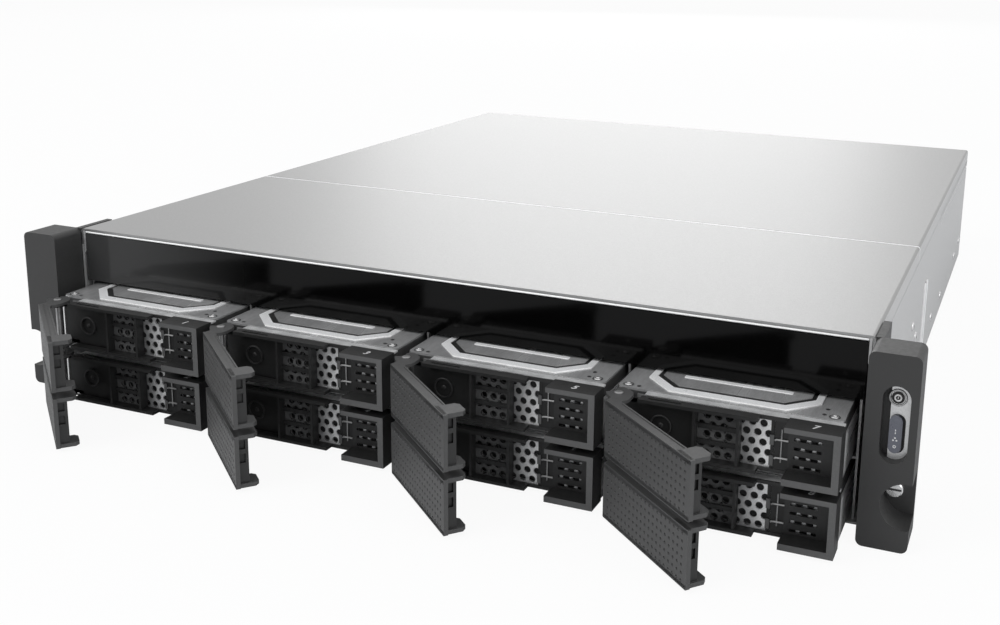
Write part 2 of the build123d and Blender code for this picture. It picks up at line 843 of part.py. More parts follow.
def psu_module():
    """Slide-in power supply: case, mains inlet, air grille and bow handle; x and z from its corner."""
    x = psu_width / 2
    body = block((-x, x), (psu_rear - psu_depth, psu_rear), (0, psu_height))
    mid = psu_height / 2
    inlet_x_pair = (inlet_x - inlet_width / 2, inlet_x + inlet_width / 2)
    inlet_z = (mid - inlet_height / 2, mid + inlet_height / 2)
    body -= block(inlet_x_pair, (psu_rear - inlet_depth, psu_rear + 1), inlet_z)
    for pin_x, pin_z in ((-6.5, -2.0), (0, 2.0), (6.5, -2.0)):
        pin = block((-1.0, 1.0), (psu_rear - inlet_depth, psu_rear - inlet_pin_depth), (-2.0, 2.0))
        body += Pos(inlet_x + pin_x, 0, mid + pin_z) * pin
    half = psu_vent / 2
    pitch = psu_vent / psu_vent_bars
    for index in range(psu_vent_bars):
        z = mid - half + pitch * index
        opening = (z + 0.8, z + pitch - 0.8)
        body -= block((psu_vent_x - half + 2, psu_vent_x + half), (psu_rear - 6, psu_rear + 1), opening)
    wire = psu_handle_wire
    bow_end = psu_rear + psu_handle
    inner = psu_handle_x - wire
    bow = block((-psu_handle_x, psu_handle_x), (psu_rear, bow_end), (0, wire))
    bow -= block((-inner, inner), (psu_rear, bow_end - wire), (-1, wire + 1))
    return body + Pos(0, 0, 2.0) * bow


def screws():
    """Heads of the side screws, and the slotted rack screws in the ears' notches."""
    places = [*side_screws, *[(case_depth - from_rear, z) for from_rear, z in side_screws_rear]]
    head = RegularPolygon(side_screw_head, side_screw_sides)
    pieces = []
    for side in (-1, 1):
        for y, z in places:
            screw = prism_x(Pos(y, z) * head, half_width, half_width + side_screw_proud)
            pieces.append(screw if side == 1 else mirror(screw, about=Plane.YZ))
        x = side * rack_screw_x
        centre = Pos(x, rack_screw_z)
        front = -ear_plate - rack_screw_head_depth
        rack = prism_y(centre * RegularPolygon(rack_screw_head, 16), front, -ear_plate)
        rack += prism_y(centre * RegularPolygon(rack_screw_neck, 8), -ear_plate, 0)
        rack += prism_y(centre * Circle(rack_screw_radius), 0, rack_screw_length)
        rack -= Pos(x, front, rack_screw_z) * Box(2 * rack_screw_head + 1, 1.6, screw_slot)
        pieces.append(rack)
    return pieces


# Files


def save(name, shapes):
    """Write one node as one file."""
    solids = []
    for shape in shapes if isinstance(shapes, list) else [shapes]:
        solids += shape.solids()
    export_step(Compound(children=solids) if len(solids) > 1 else solids[0], f"parts/{name}.step")


def save_bays():
    """Each tray and what rides on it, column by column, the upper row first."""
    closed = lever()
    pieces = {
        "bezel": tray_bezel(),
        "sled": sled(),
        "drive": drive(),
        "lever": open_lever(closed),
        "hardware": hardware(),
    }
    number = 0
    for column in range(columns):
        for row in reversed(range(rows)):
            number += 1
            place = Pos(group_left + column * column_pitch, -tray_out, first_row_z + row * row_pitch)
            for name, piece in pieces.items():
                placed = [place * one for one in piece] if isinstance(piece, list) else place * piece
                save(f"bay_{number}_{name}", placed)


def save_case():
    """The case, its inside and its moving pieces."""
    save("chassis_base", chassis_base())
    save("rear_panel", rear_panel())
    save("front_cover", front_cover())
    save("rear_cover", rear_cover())
    save("fascia", fascia())
    save("ear_right", ear_right())
    save("ear_left", mirror(ear_blank(), about=Plane.YZ))
    save("control_bezel", control_bezel())
    save("power_button", power_button())
    save("indicator_lens", indicator_lens())
    save("drive_cage", drive_cage())
    save("backplane", backplane())
    save("mainboard", mainboard())
    save("screws", screws())
    frame = fan_frame()
    rotor = fan_rotor()
    save("fan_frames", [Pos(x, fan_front, fan_z) * frame for x in fan_centres()])
    for index, x in enumerate(fan_centres()):
        save(f"fan_rotor_{index + 1}", Pos(x, fan_front, fan_z) * rotor)
    module = psu_module()
    for index, z in enumerate(psu_low_z()):
        save(f"psu_{index + 1}", Pos(psu_x, 0, z) * module)


os.makedirs("parts", exist_ok=True)
save_bays()
save_case()
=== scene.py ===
"""Looks of the two-unit storage server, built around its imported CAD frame."""

import json
import math

import bmesh
import bpy
from mathutils import Euler, Matrix, Vector
from mathutils.geometry import delaunay_2d_cdt


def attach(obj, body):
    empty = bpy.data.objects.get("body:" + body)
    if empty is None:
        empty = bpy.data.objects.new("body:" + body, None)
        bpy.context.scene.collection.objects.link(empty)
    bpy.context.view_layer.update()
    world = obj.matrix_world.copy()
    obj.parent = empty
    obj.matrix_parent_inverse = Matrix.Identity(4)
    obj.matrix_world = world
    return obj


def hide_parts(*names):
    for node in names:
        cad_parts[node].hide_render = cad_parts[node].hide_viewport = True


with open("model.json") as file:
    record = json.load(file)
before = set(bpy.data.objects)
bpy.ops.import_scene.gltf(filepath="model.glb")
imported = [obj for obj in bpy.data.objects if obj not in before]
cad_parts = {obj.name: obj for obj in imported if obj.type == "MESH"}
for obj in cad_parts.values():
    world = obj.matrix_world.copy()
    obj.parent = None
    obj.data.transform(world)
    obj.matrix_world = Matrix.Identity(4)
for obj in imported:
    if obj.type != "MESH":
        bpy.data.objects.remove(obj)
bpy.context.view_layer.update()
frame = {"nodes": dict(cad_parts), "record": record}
record = frame["record"]

# Everything below is drawn in millimetres and becomes metres when a piece is made
MM = 0.001

# Angles from which an edge is rounded, and from which it stays sharp in shading
SHARP = math.radians(32)
CREASE = math.radians(40)

# Case
HALF_WIDTH = 219.5
CASE_HEIGHT = 88.0
CASE_DEPTH = 520.0
SHEET = 1.2
LIP_FRONT = 9.0
LIP_REAR = 12.5
LIP_STEP = 294.0
SEAM_Y = 169.6
SEAM_WIDTH = 1.3
# Strip in the seam, painted bright as the seam's highlight
SEAM_PAINTED_HIGHLIGHT = (169.15, 170.65)
SEAM_END = 171.35
COVER_Z = 86.8
HEM_DEPTH = 8.0
HEM_RADIUS = 0.6
FASCIA_LOW = 58.3
FASCIA_HIGH = 85.05
FASCIA_X = 216.5
SLOT_Y = 223.0
SLOT_Z = (5.0, 54.0)
LINERS_Y = (215.8, 225.4)
LINER_WIDTH = 6.0
SIDE_SCREWS = ((161, 44), (181, 32), (279, 15), (344, 12), (455, 14), (495, 17))

# Ears
EAR_OUT = 241.3
EAR_DEPTH = 20.0
EAR_PLATE = 3.0
NOTCH = (238.95, 20.9)
NOTCH_RADIUS = 10.55
RACK_SCREW = (232.55, 21.8)

# Bays, numbered column by column from the left, the upper row first
COLUMNS = 4
ROWS = 2
COLUMN_PITCH = 107.5
ROW_PITCH = 29.4
GROUP_LEFT = -213.75
FIRST_ROW_Z = 1.5
TRAY_OUT = 41.0
TRAY_WIDTH = 105.0
TRAY_HEIGHT = 25.9
LEVER_ANGLE = 41.0
PIVOT = (5.5, 9.3)

# Tray bezel, sled and drive, from the front left lower corner of the tray
BEZEL_DEPTH = 11.6
THUMB_X = 81.4
THUMB_WALL = 3.0
THUMB_TOP = 2.3
HEADER_FRONT = 5.8
HEADER_TOP = 25.3
HEADER_LOW = 23.7
RIBS_X = (40.4, 59.8)
RING = (25.0, 12.95)
CATCH_X = 69.0
VENTS_Z = (4.6, 8.7, 12.7, 16.8)
HOOK_Z = (7.4, 15.6)
NUMERAL = (93.2, 5.6)
NUMERAL_SIZE = 5.2
HOLES_Z = (3.9, 8.25, 12.6, 16.95, 21.3)
HOLE_PITCH = 4.9
HOLE_RADIUS = 1.7
SLED_X = (0.9, 104.1)
SLED_FRONT = 11.9
SLED_TOP = 25.2
GAUGE = 0.8
DRIVE_X = (1.7, 103.3)
DRIVE_Y = (17.0, 164.0)
LID_TOP = 25.5

# Lever
LEVER_START = 6.0
LEVER_REACH = 75.0
LEVER_FRONT = 10.0
LEVER_SKIN = 2.0
DIMPLES = (20, 7)
DIMPLE_FIRST = (4.2, 2.75)
DIMPLE_PITCH = (3.2, 3.4)
DIMPLE_RADIUS = 0.76
DIMPLE_DEPTH = 0.55
WINDOWS_Z = ((11.9, 16.4), (18.7, 23.0))

# Control panel in the right ear
PANEL = (232.1, 57.0)
PANEL_FLOOR = -13.5
BUTTON = (232.1, 67.6)
LENS = (232.2, 51.6)
PLATE_FRONT = -15.0
BUTTON_FRONT = -15.8
LENS_FRONT = -16.6

# Rear
PSU_X = 183.0
PSU_WIDTH = 54.5
PSU_HEIGHT = 39.6
PSU_LOW = (1.5, 43.5)
PSU_REAR = 521.4
PSU_DEPTH = 200.0
JACKS_X = (-120.0, -94.0)
JACK_WIDTH = 17.0
JACK_HEIGHT = 29.0
BOARD_TOP = 8.8
VENTS = (30, 11)
VENT_FIRST = (-56.0, 18.5)
VENT_PITCH = 6.2
VENT_RADIUS = 2.55
SINK_X = (-95.0, -25.0)
SINK_TOP = 40.0
FINS = 8

# Floor, surroundings and lamps (place, aim, size, power), in metres and watts
FLOOR_HALF = 40.0
FLOOR_DROP = 0.0005
FLOOR_GLOW = 0.93
SKY_LIGHT = 0.55
LAMPS = {
    "key": ((-1.3, -1.5, 1.9), (0, 0.1, 0.04), 1.4, 26),
    "fill": ((1.6, -0.6, 0.9), (0, 0.1, 0.04), 1.2, 9),
    "sheen": ((-1.05, 3.2, 1.15), (0, 0.2, 0.08), 1.8, 20),
}

# Camera, solved from the photograph
VIEW_PLACE = (0.27923, -0.50522, 0.25286)
VIEW_TURN = (77.374, -1.085, 22.085)
VIEW_LENS = 43.187
VIEW_SHIFT = (-0.07053, -0.10671)


# Flat outlines


def on_circle(radius, centre, angle):
    """Point of a circle."""
    return (centre[0] + radius * math.cos(angle), centre[1] + radius * math.sin(angle))


def circle(radius, centre, sides, turn=0.0):
    """Round loop of points."""
    return [on_circle(radius, centre, turn + math.tau * index / sides) for index in range(sides)]


def around(middle, half):
    """Two limits with a value midway."""
    return (middle - half, middle + half)


def rectangle(a, b):
    """Loop of four corners between two pairs of limits."""
    return [(a[0], b[0]), (a[1], b[0]), (a[1], b[1]), (a[0], b[1])]


def rounded(a, b, radius, sides=5):
    """Rectangle with round corners."""
    corners = ((a[1], b[1], 0), (a[0], b[1], 1), (a[0], b[0], 2), (a[1], b[0], 3))
    loop = []
    for x, y, quarter in corners:
        cx = x - radius if x == a[1] else x + radius
        cy = y - radius if y == b[1] else y + radius
        for index in range(sides + 1):
            angle = math.pi / 2 * (quarter + index / sides)
            loop.append(on_circle(radius, (cx, cy), angle))
    return loop


def capsule(width, height, centre, sides):
    """Upright capsule."""
    x, z = around(centre[0], width / 2), around(centre[1], height / 2)
    return rounded(x, z, width / 2 - 0.001, sides // 2)


def octagon(x, y, cut):
    """Rectangle with its corners cut off at 45 degrees."""
    return [
        (x[0] + cut, y[0]), (x[1] - cut, y[0]), (x[1], y[0] + cut), (x[1], y[1] - cut),
        (x[1] - cut, y[1]), (x[0] + cut, y[1]), (x[0], y[1] - cut), (x[0], y[0] + cut),
    ]


def lift(point, axis, level):
    """A point of a flat outline, set at a level along an axis."""
    a, b = point
    return {"x": (level, a, b), "y": (a, level, b), "z": (a, b, level)}[axis]


def inside(point, loop):
    """Whether a flat point lies within a loop."""
    x, y = point
    within = False
    for (ax, ay), (bx, by) in zip(loop, loop[1:] + loop[:1]):
        if (ay > y) != (by > y) and x < (bx - ax) * (y - ay) / (by - ay) + ax:
            within = not within
    return within


def fill(loops):
    """Faces, as lists of point numbers, that fill the first loop and leave the others open."""
    if len(loops) == 1:
        return [list(range(len(loops[0])))]
    points = [p for loop in loops for p in loop]
    owner = [number for number, loop in enumerate(loops) for _ in loop]
    edges = []
    start = 0
    for loop in loops:
        count = len(loop)
        edges += [(start + i, start + (i + 1) % count) for i in range(count)]
        start += count
    result = delaunay_2d_cdt([Vector(p) for p in points], edges, [], 1, 1e-5)
    source = [origins[0] for origins in result[3]]
    faces = []
    for made in result[2]:
        face = [source[i] for i in made]
        owners = {owner[i] for i in face}
        middle = [sum(points[i][axis] for i in face) / len(face) for axis in (0, 1)]
        if len(owners) > 1 or owners == {0} or not inside(middle, loops[owners.pop()]):
            faces.append(face)
    return faces


def add_object(name, data):
    """New object in the scene."""
    obj = bpy.data.objects.new(name, data)
    bpy.context.scene.collection.objects.link(obj)
    return obj


def final_mesh(holder):
    """Mesh of an object as its modifiers leave it. The object itself goes."""
    graph = bpy.context.evaluated_depsgraph_get()
    data = bpy.data.meshes.new_from_object(holder.evaluated_get(graph))
    bpy.data.objects.remove(holder)
    return data


class Solid:
    """Closed shells in millimetres, gathered into one mesh."""

    def __init__(self):
        self.points = []
        self.faces = []
        self.looks = []

    def shell(
        self, points, faces, look=0, soften=0.0, soft=(), segments=2, edge=None, plane=None, soft_look=None,
    ):
        """Adds one closed shell. Its sharp edges are rounded, or only those in one plane (axis, level)."""
        bm = bmesh.new()
        verts = [bm.verts.new(p) for p in points]
        for number, face in enumerate(faces):
            made = bm.faces.new([verts[i] for i in face])
            made.material_index = look
            made.tag = number in soft
            if made.tag and soft_look is not None:
                made.material_index = soft_look
        bmesh.ops.recalc_face_normals(bm, faces=bm.faces)
        if soften:
            edges = [e for e in bm.edges if len(e.link_faces) == 2 and e.calc_face_angle(0) > SHARP]
            edges = [e for e in edges if not any(f.tag for f in e.link_faces)]
            if plane:
                index, level = plane
                edges = [e for e in edges if all(abs(v.co[index] - level) < 1e-4 for v in e.verts)]
            bmesh.ops.bevel(
                bm, geom=edges, offset=soften, offset_type="OFFSET", segments=segments, profile=0.5,
                affect="EDGES", clamp_overlap=True, material=-1 if edge is None else edge,
            )
        start = len(self.points)
        bm.verts.index_update()
        self.points += [v.co.copy() for v in bm.verts]
        self.faces += [[start + v.index for v in f.verts] for f in bm.faces]
        self.looks += [f.material_index for f in bm.faces]
        bm.free()

    def prism(
        self, loop, axis, low, high, holes=(), pits=(), look=0, soften=0.0, segments=2, edge=None, rim=None,
        pit_look=None,
    ):
        """Extrudes an outline. Holes go through; pits are (loop, depth, narrowing) in the low face.

        With rim, "low" or "high", only the edges of that end are rounded.
        """
        loops = [loop, *holes]
        pit_loops = [pit[0] for pit in pits]
        flat = [p for one in loops for p in one]
        pit_flat = [p for one in pit_loops for p in one]
        count = len(flat)
        points = [lift(p, axis, low) for p in flat + pit_flat]
        high_start = len(points)
        points += [lift(p, axis, high) for p in flat]
        faces = fill(loops + pit_loops)
        faces += [[high_start + i for i in face] for face in fill(loops)]
        start = 0
        for one in loops:
            n = len(one)
            for i in range(n):
                a, b = start + i, start + (i + 1) % n
                faces.append([a, b, high_start + b, high_start + a])
            start += n
        soft = set()
        start = count
        for one, depth, narrowing in pits:
            n = len(one)
            cx = sum(p[0] for p in one) / n
            cy = sum(p[1] for p in one) / n
            level = low + depth if high > low else low - depth
            ring = len(points)
            points += [
                lift((cx + (p[0] - cx) * narrowing, cy + (p[1] - cy) * narrowing), axis, level) for p in one
            ]
            for i in range(n):
                soft.add(len(faces))
                faces.append([start + i, start + (i + 1) % n, ring + (i + 1) % n, ring + i])
            soft.add(len(faces))
            faces.append([ring + i for i in range(n)])
            start += n
        plane = None
        if rim:
            plane = ("xyz".index(axis), low if rim == "low" else high)
        self.shell(points, faces, look, soften, soft, segments, edge, plane, pit_look)

    def box(self, x, y, z, look=0, soften=0.0, segments=2, edge=None):
        """Block between three pairs of limits."""
        self.prism(rectangle(x, y), "z", z[0], z[1], look=look, soften=soften, segments=segments, edge=edge)

    def lathe(self, profile, centre, axis, sides=32, look=0):
        """Turns (radius, level) points about an axis; a profile that leaves the axis closes on itself."""
        points = []
        faces = []
        rings = []
        for radius, level in profile:
            if radius < 1e-6:
                rings.append([len(points)])
                points.append(lift(centre, axis, level))
                continue
            rings.append(list(range(len(points), len(points) + sides)))
            points += [lift(p, axis, level) for p in circle(radius, centre, sides)]
        pairs = list(zip(rings, rings[1:]))
        if len(rings[0]) > 1 and len(rings[-1]) > 1:
            pairs.append((rings[-1], rings[0]))
        for a, b in pairs:
            for i in range(sides):
                j = (i + 1) % sides
                face = [a[i % len(a)], a[j % len(a)], b[j % len(b)], b[i % len(b)]]
                faces.append(list(dict.fromkeys(face)))
        self.shell(points, faces, look)

    def wire(self, path, radius, sides=8, look=0):
        """Round bar along a run of points, closed at both ends."""
        spots = [Vector(p) for p in path]
        points = []
        normal = None
        for index, spot in enumerate(spots):
            before = spots[max(index - 1, 0)]
            after = spots[min(index + 1, len(spots) - 1)]
            along = (after - before).normalized()
            if normal is None:
                normal = along.orthogonal().normalized()
            normal = (normal - along * normal.dot(along)).normalized()
            across = along.cross(normal)
            for side in range(sides):
                angle = math.tau * side / sides
                points.append(spot + radius * (math.cos(angle) * normal + math.sin(angle) * across))
        faces = [list(range(sides)), list(range(len(points) - sides, len(points)))]
        for ring in range(len(spots) - 1):
            for side in range(sides):
                a = ring * sides + side
                b = ring * sides + (side + 1) % sides
                faces.append([a, b, b + sides, a + sides])
        self.shell(points, faces, look)

    def turned(self, matrix):
        """The same shells, moved, or mirrored by a matrix that reverses."""
        moved = Solid()
        moved.points = [matrix @ Vector(p) for p in self.points]
        moved.faces = [list(reversed(f)) if matrix.determinant() < 0 else list(f) for f in self.faces]
        moved.looks = list(self.looks)
        return moved

    def repaint(self, axis, old, new):
        """Gives faces of one look that are square to an axis another look."""
        for number, face in enumerate(self.faces):
            a, b, c = (self.points[i] for i in face[:3])
            if self.looks[number] == old and abs((b - a).cross(c - b).normalized()[axis]) > 0.8:
                self.looks[number] = new

    def mesh(self, name, looks):
        """Mesh in metres. Wide faces keep their own shading and the rounded edges blend into them."""
        data = bpy.data.meshes.new(name)
        data.from_pydata([p * MM for p in self.points], [], self.faces)
        for look in looks:
            data.materials.append(LOOKS[look])
        data.polygons.foreach_set("material_index", self.looks)
        data.polygons.foreach_set("use_smooth", [True] * len(data.polygons))
        data.set_sharp_from_angle(angle=CREASE)
        data.update()
        holder = add_object(name + "_holder", data)
        weigh = holder.modifiers.new("weigh", "WEIGHTED_NORMAL")
        weigh.keep_sharp = True
        shaded = final_mesh(holder)
        bpy.data.meshes.remove(data)
        shaded.name = name
        return shaded


def piece(name, data, body, replaces=(), place=(0, 0, 0)):
    """Object that shows a mesh, rides on a body and may stand for CAD nodes."""
    obj = add_object(name, data)
    obj.location = Vector(place) * MM
    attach(obj, body)
    if replaces:
        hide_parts(*replaces)
    return obj


def show(name, solid, looks, body="case", node=None):
    """Piece made from a solid: its slot is its first look and it stands for its namesake, unless told."""
    data = solid.mesh(name + "_shape", looks)
    piece(name + "_look", data, body, [node or name])


def bay_origins():
    """Number and front left lower corner of each tray."""
    number = 0
    for column in range(COLUMNS):
        for row in reversed(range(ROWS)):
            number += 1
            yield number, (GROUP_LEFT + column * COLUMN_PITCH, -TRAY_OUT, FIRST_ROW_Z + row * ROW_PITCH)


# Materials

# Span of a noise pattern that a finish uses, how uneven its gloss is, and its grain's depth in metres
PATTERN = (0.3, 0.7)
UNEVEN = 0.1
GRAIN_DEPTH = 0.00008


def srgb(value):
    """Linear value of a display level from 0 to 255."""
    level = value / 255
    return level / 12.92 if level <= 0.04045 else ((level + 0.055) / 1.055) ** 2.4


def set_inputs(node, values):
    """Puts constants on a node's own inputs."""
    for socket, value in values.items():
        node.inputs[socket].default_value = value


def add_node(nodes, kind, values):
    """New node with constants on some of its inputs."""
    node = nodes.new(kind)
    set_inputs(node, values)
    return node


def blend_shaders(tree, factor, first, second, end):
    """Sends a blend of two shaders to an output node."""
    mix = tree.nodes.new("ShaderNodeMixShader")
    tree.links.new(factor, mix.inputs["Fac"])
    tree.links.new(first, mix.inputs[1])
    tree.links.new(second, mix.inputs[2])
    tree.links.new(mix.outputs["Shader"], end.inputs["Surface"])


def two_tone(tree, factor, low_colour, high_colour):
    """Ramp between two colours, driven by a pattern."""
    ramp = tree.nodes.new("ShaderNodeValToRGB")
    first, last = ramp.color_ramp.elements
    first.position, last.position = PATTERN
    first.color = (*low_colour, 1)
    last.color = (*high_colour, 1)
    tree.links.new(factor, ramp.inputs["Fac"])
    return ramp.outputs["Color"]


def multiply(tree, a, b):
    """Product of two colours."""
    mixed = tree.nodes.new("ShaderNodeMix")
    mixed.data_type = "RGBA"
    mixed.blend_type = "MULTIPLY"
    mixed.inputs["Factor"].default_value = 1.0
    tree.links.new(a, mixed.inputs["A"])
    tree.links.new(b, mixed.inputs["B"])
    return mixed.outputs["Result"]


def finish_material(
    name, level, rough=0.5, metallic=0.0, grain=2200, stretch=(1, 1, 1), mottle=600,
    contrast=0.12, speck=0.08, relief=0.3, coat=0.0, specular=0.5, tint=(1, 1, 1), painted_light_fade=None,
):
    """Procedural finish: broad and fine colour variation, uneven gloss and a fine grain in relief.

    The fade, (x, x, share), is painted light and shade: the colour falls to a share of itself between two
    places across the object.
    """
    material = bpy.data.materials.new(name + "_look")
    material.use_nodes = True
    tree = material.node_tree
    nodes, links = tree.nodes, tree.links
    shader = nodes["Principled BSDF"]
    place = nodes.new("ShaderNodeTexCoord")
    scaled = add_node(nodes, "ShaderNodeMapping", {"Scale": stretch})
    links.new(place.outputs["Object"], scaled.inputs["Vector"])
    patterns = []
    for scale, detail in ((mottle, 4.0), (grain, 2.0)):
        noise = add_node(nodes, "ShaderNodeTexNoise", {"Scale": scale, "Detail": detail})
        links.new(scaled.outputs["Vector"], noise.inputs["Vector"])
        patterns.append(noise.outputs["Fac"])
    broad, fine = patterns
    base = [min(1.0, srgb(level) * t) for t in tint]
    dark = [c * (1 - contrast) for c in base]
    light = [min(1.0, c * (1 + contrast)) for c in base]
    colour = two_tone(tree, broad, dark, light)
    dots = two_tone(tree, fine, [1 - speck] * 3, [1 + speck] * 3)
    colour = multiply(tree, colour, dots)
    # Painted light and shade: the colour falls off along x across the object
    if painted_light_fade:
        axes = nodes.new("ShaderNodeSeparateXYZ")
        links.new(place.outputs["Object"], axes.inputs["Vector"])
        reach = {"From Min": painted_light_fade[0], "From Max": painted_light_fade[1], "To Min": 1.0, "To Max": painted_light_fade[2]}
        painted_light_span = add_node(nodes, "ShaderNodeMapRange", reach)
        painted_light_span.interpolation_type = "SMOOTHSTEP"
        links.new(axes.outputs["X"], painted_light_span.inputs["Value"])
        painted_light_factor = nodes.new("ShaderNodeCombineColor")
        for channel in ("Red", "Green", "Blue"):
            links.new(painted_light_span.outputs["Result"], painted_light_factor.inputs[channel])
        colour = multiply(tree, colour, painted_light_factor.outputs["Color"])
    links.new(colour, shader.inputs["Base Color"])
    low, high = max(0.02, rough * (1 - UNEVEN)), min(1.0, rough * (1 + UNEVEN))
    spread = {"From Min": PATTERN[0], "From Max": PATTERN[1], "To Min": low, "To Max": high}
    gloss = add_node(nodes, "ShaderNodeMapRange", spread)
    links.new(broad, gloss.inputs["Value"])
    links.new(gloss.outputs["Result"], shader.inputs["Roughness"])
    bump = add_node(nodes, "ShaderNodeBump", {"Strength": relief, "Distance": GRAIN_DEPTH})
    links.new(fine, bump.inputs["Height"])
    links.new(bump.outputs["Normal"], shader.inputs["Normal"])
    set_inputs(shader, {"Metallic": metallic, "Specular IOR Level": specular})
    set_inputs(shader, {"Coat Weight": coat, "Coat Roughness": 0.05})
    return material


# Display level, and what differs from the plain finish
FINISHES = {
    "case_steel": dict(level=192, metallic=0.55, grain=2600, mottle=700, contrast=0.03),
    "cover_steel": dict(
        level=157, rough=0.46, metallic=0.9, grain=2400, mottle=650, contrast=0.03, relief=0.2,
    ),
    # Bright steel: painted highlight on the covers' fold, front rim and seam strip; also the side slot
    # liners
    "bright_steel_and_painted_highlight": dict(level=252, rough=0.4, metallic=0.25, grain=2400, mottle=900, contrast=0.03),
    # The fascia's left end is painted grey as a reflection, falling to near black 90 mm left of the middle
    "fascia_gloss": dict(
        level=60, rough=0.1, specular=0.15, grain=1400, mottle=60, contrast=0.02, speck=0.01, relief=0.01,
        painted_light_fade=(-0.2, -0.09, 0.03),
    ),
    "ear_plastic": dict(level=46, rough=0.55, grain=1800, mottle=500, contrast=0.05),
    # Light grey for the ears' rounded front rim: painted highlight
    "ear_painted_highlight": dict(level=96, rough=0.4, grain=1800, mottle=500, contrast=0.08, relief=0.1),
    "bezel_silver": dict(
        level=206, rough=0.34, metallic=0.6, grain=2500, relief=0.08, mottle=400, contrast=0.04,
    ),
    "button_silver": dict(level=172, rough=0.28, metallic=0.8, grain=2500, relief=0.06, mottle=400),
    "lens_blue": dict(
        level=96, rough=0.3, coat=0.3, grain=1400, mottle=300, contrast=0.05, relief=0.03,
        tint=(0.92, 0.97, 1.2),
    ),
    "mark_pale": dict(level=216, grain=3000, mottle=800, contrast=0.04, relief=0.05),
    "cage_zinc": dict(level=158, rough=0.4, metallic=0.8, grain=1600, mottle=300),
    "tray_plastic": dict(level=33, rough=0.46, contrast=0.08, relief=0.25),
    # A darker copy of the tray plastic: painted shade in recesses, behind the hooks and in the lever's
    # windows
    "tray_painted_shade": dict(level=20, contrast=0.08, relief=0.2),
    # Light grey for the tray's rounded edges: painted highlight
    "tray_painted_highlight": dict(level=124, rough=0.36, relief=0.1),
    # Lighter grey plastic; on the tray front it is a lit copy of the tray plastic, kept on faces turned to
    # the front
    "grey_plastic_and_painted_light": dict(level=84, rough=0.42, contrast=0.06, relief=0.2),
    "sled_zinc": dict(
        level=234, rough=0.36, metallic=0.55, grain=1800, mottle=160, contrast=0.1, relief=0.06,
    ),
    # The sled's upstand darkens to 0.28 of its colour towards the lever, between x 74 and 58 mm: painted
    # shade
    "sled_front_painted_shade": dict(
        level=248, rough=0.34, metallic=0.5, grain=1800, mottle=160, relief=0.06, painted_light_fade=(0.074, 0.058, 0.28),
    ),
    # Near-white metal for the drive lid's frame and rounded edges: painted highlight
    "drive_metal": dict(
        level=252, rough=0.3, metallic=0.12, grain=1500, mottle=160, contrast=0.03, relief=0.1,
    ),
    "drive_panel": dict(
        level=196, rough=0.26, metallic=0.5, grain=1500, stretch=(1, 0.15, 1), mottle=60, contrast=0.2,
    ),
    # Dark metal: painted shade in grooves, screw slots and crosses, holes and the side slots; also the power
    # button's own dark face
    "dark_metal_and_painted_shade": dict(level=60, metallic=0.7, grain=1500, mottle=300),
    "drive_cast": dict(level=84, rough=0.6, metallic=0.6, grain=900, mottle=250, contrast=0.16, relief=0.5),
    "lever_plastic": dict(level=70, contrast=0.05),
    # Dark lever plastic for the dimples and the web: painted shade
    "dimple_shade": dict(level=34, contrast=0.08, relief=0.1),
    # Light grey for the lever's rounded edges: painted highlight
    "lever_painted_highlight": dict(level=168, rough=0.36, contrast=0.1, relief=0.1),
    "pin_steel": dict(level=216, rough=0.3, metallic=0.6, grain=2600, relief=0.08, mottle=500),
    "board_green": dict(level=66, rough=0.45, tint=(0.35, 1.0, 0.45), mottle=300, contrast=0.3, grain=1400),
    "chip_black": dict(level=30, rough=0.55, grain=3000),
    "fan_black": dict(level=34, grain=1500, mottle=400),
    "psu_zinc": dict(level=172, rough=0.4, metallic=0.75, grain=1600, mottle=260, contrast=0.1),
    "screw_steel": dict(level=214, rough=0.26, metallic=0.75, grain=2600, relief=0.08),
}
LOOKS = {name: finish_material(name, **values) for name, values in FINISHES.items()}


def dress_frame():
    """Gives every CAD node the finish of its slot."""
    slots = {entry["node"]: entry["material_slot"] for entry in record["subparts"]}
    for name, node in frame["nodes"].items():
        for index in range(len(node.data.materials)):
            node.data.materials[index] = LOOKS[slots[name]]


# Bays


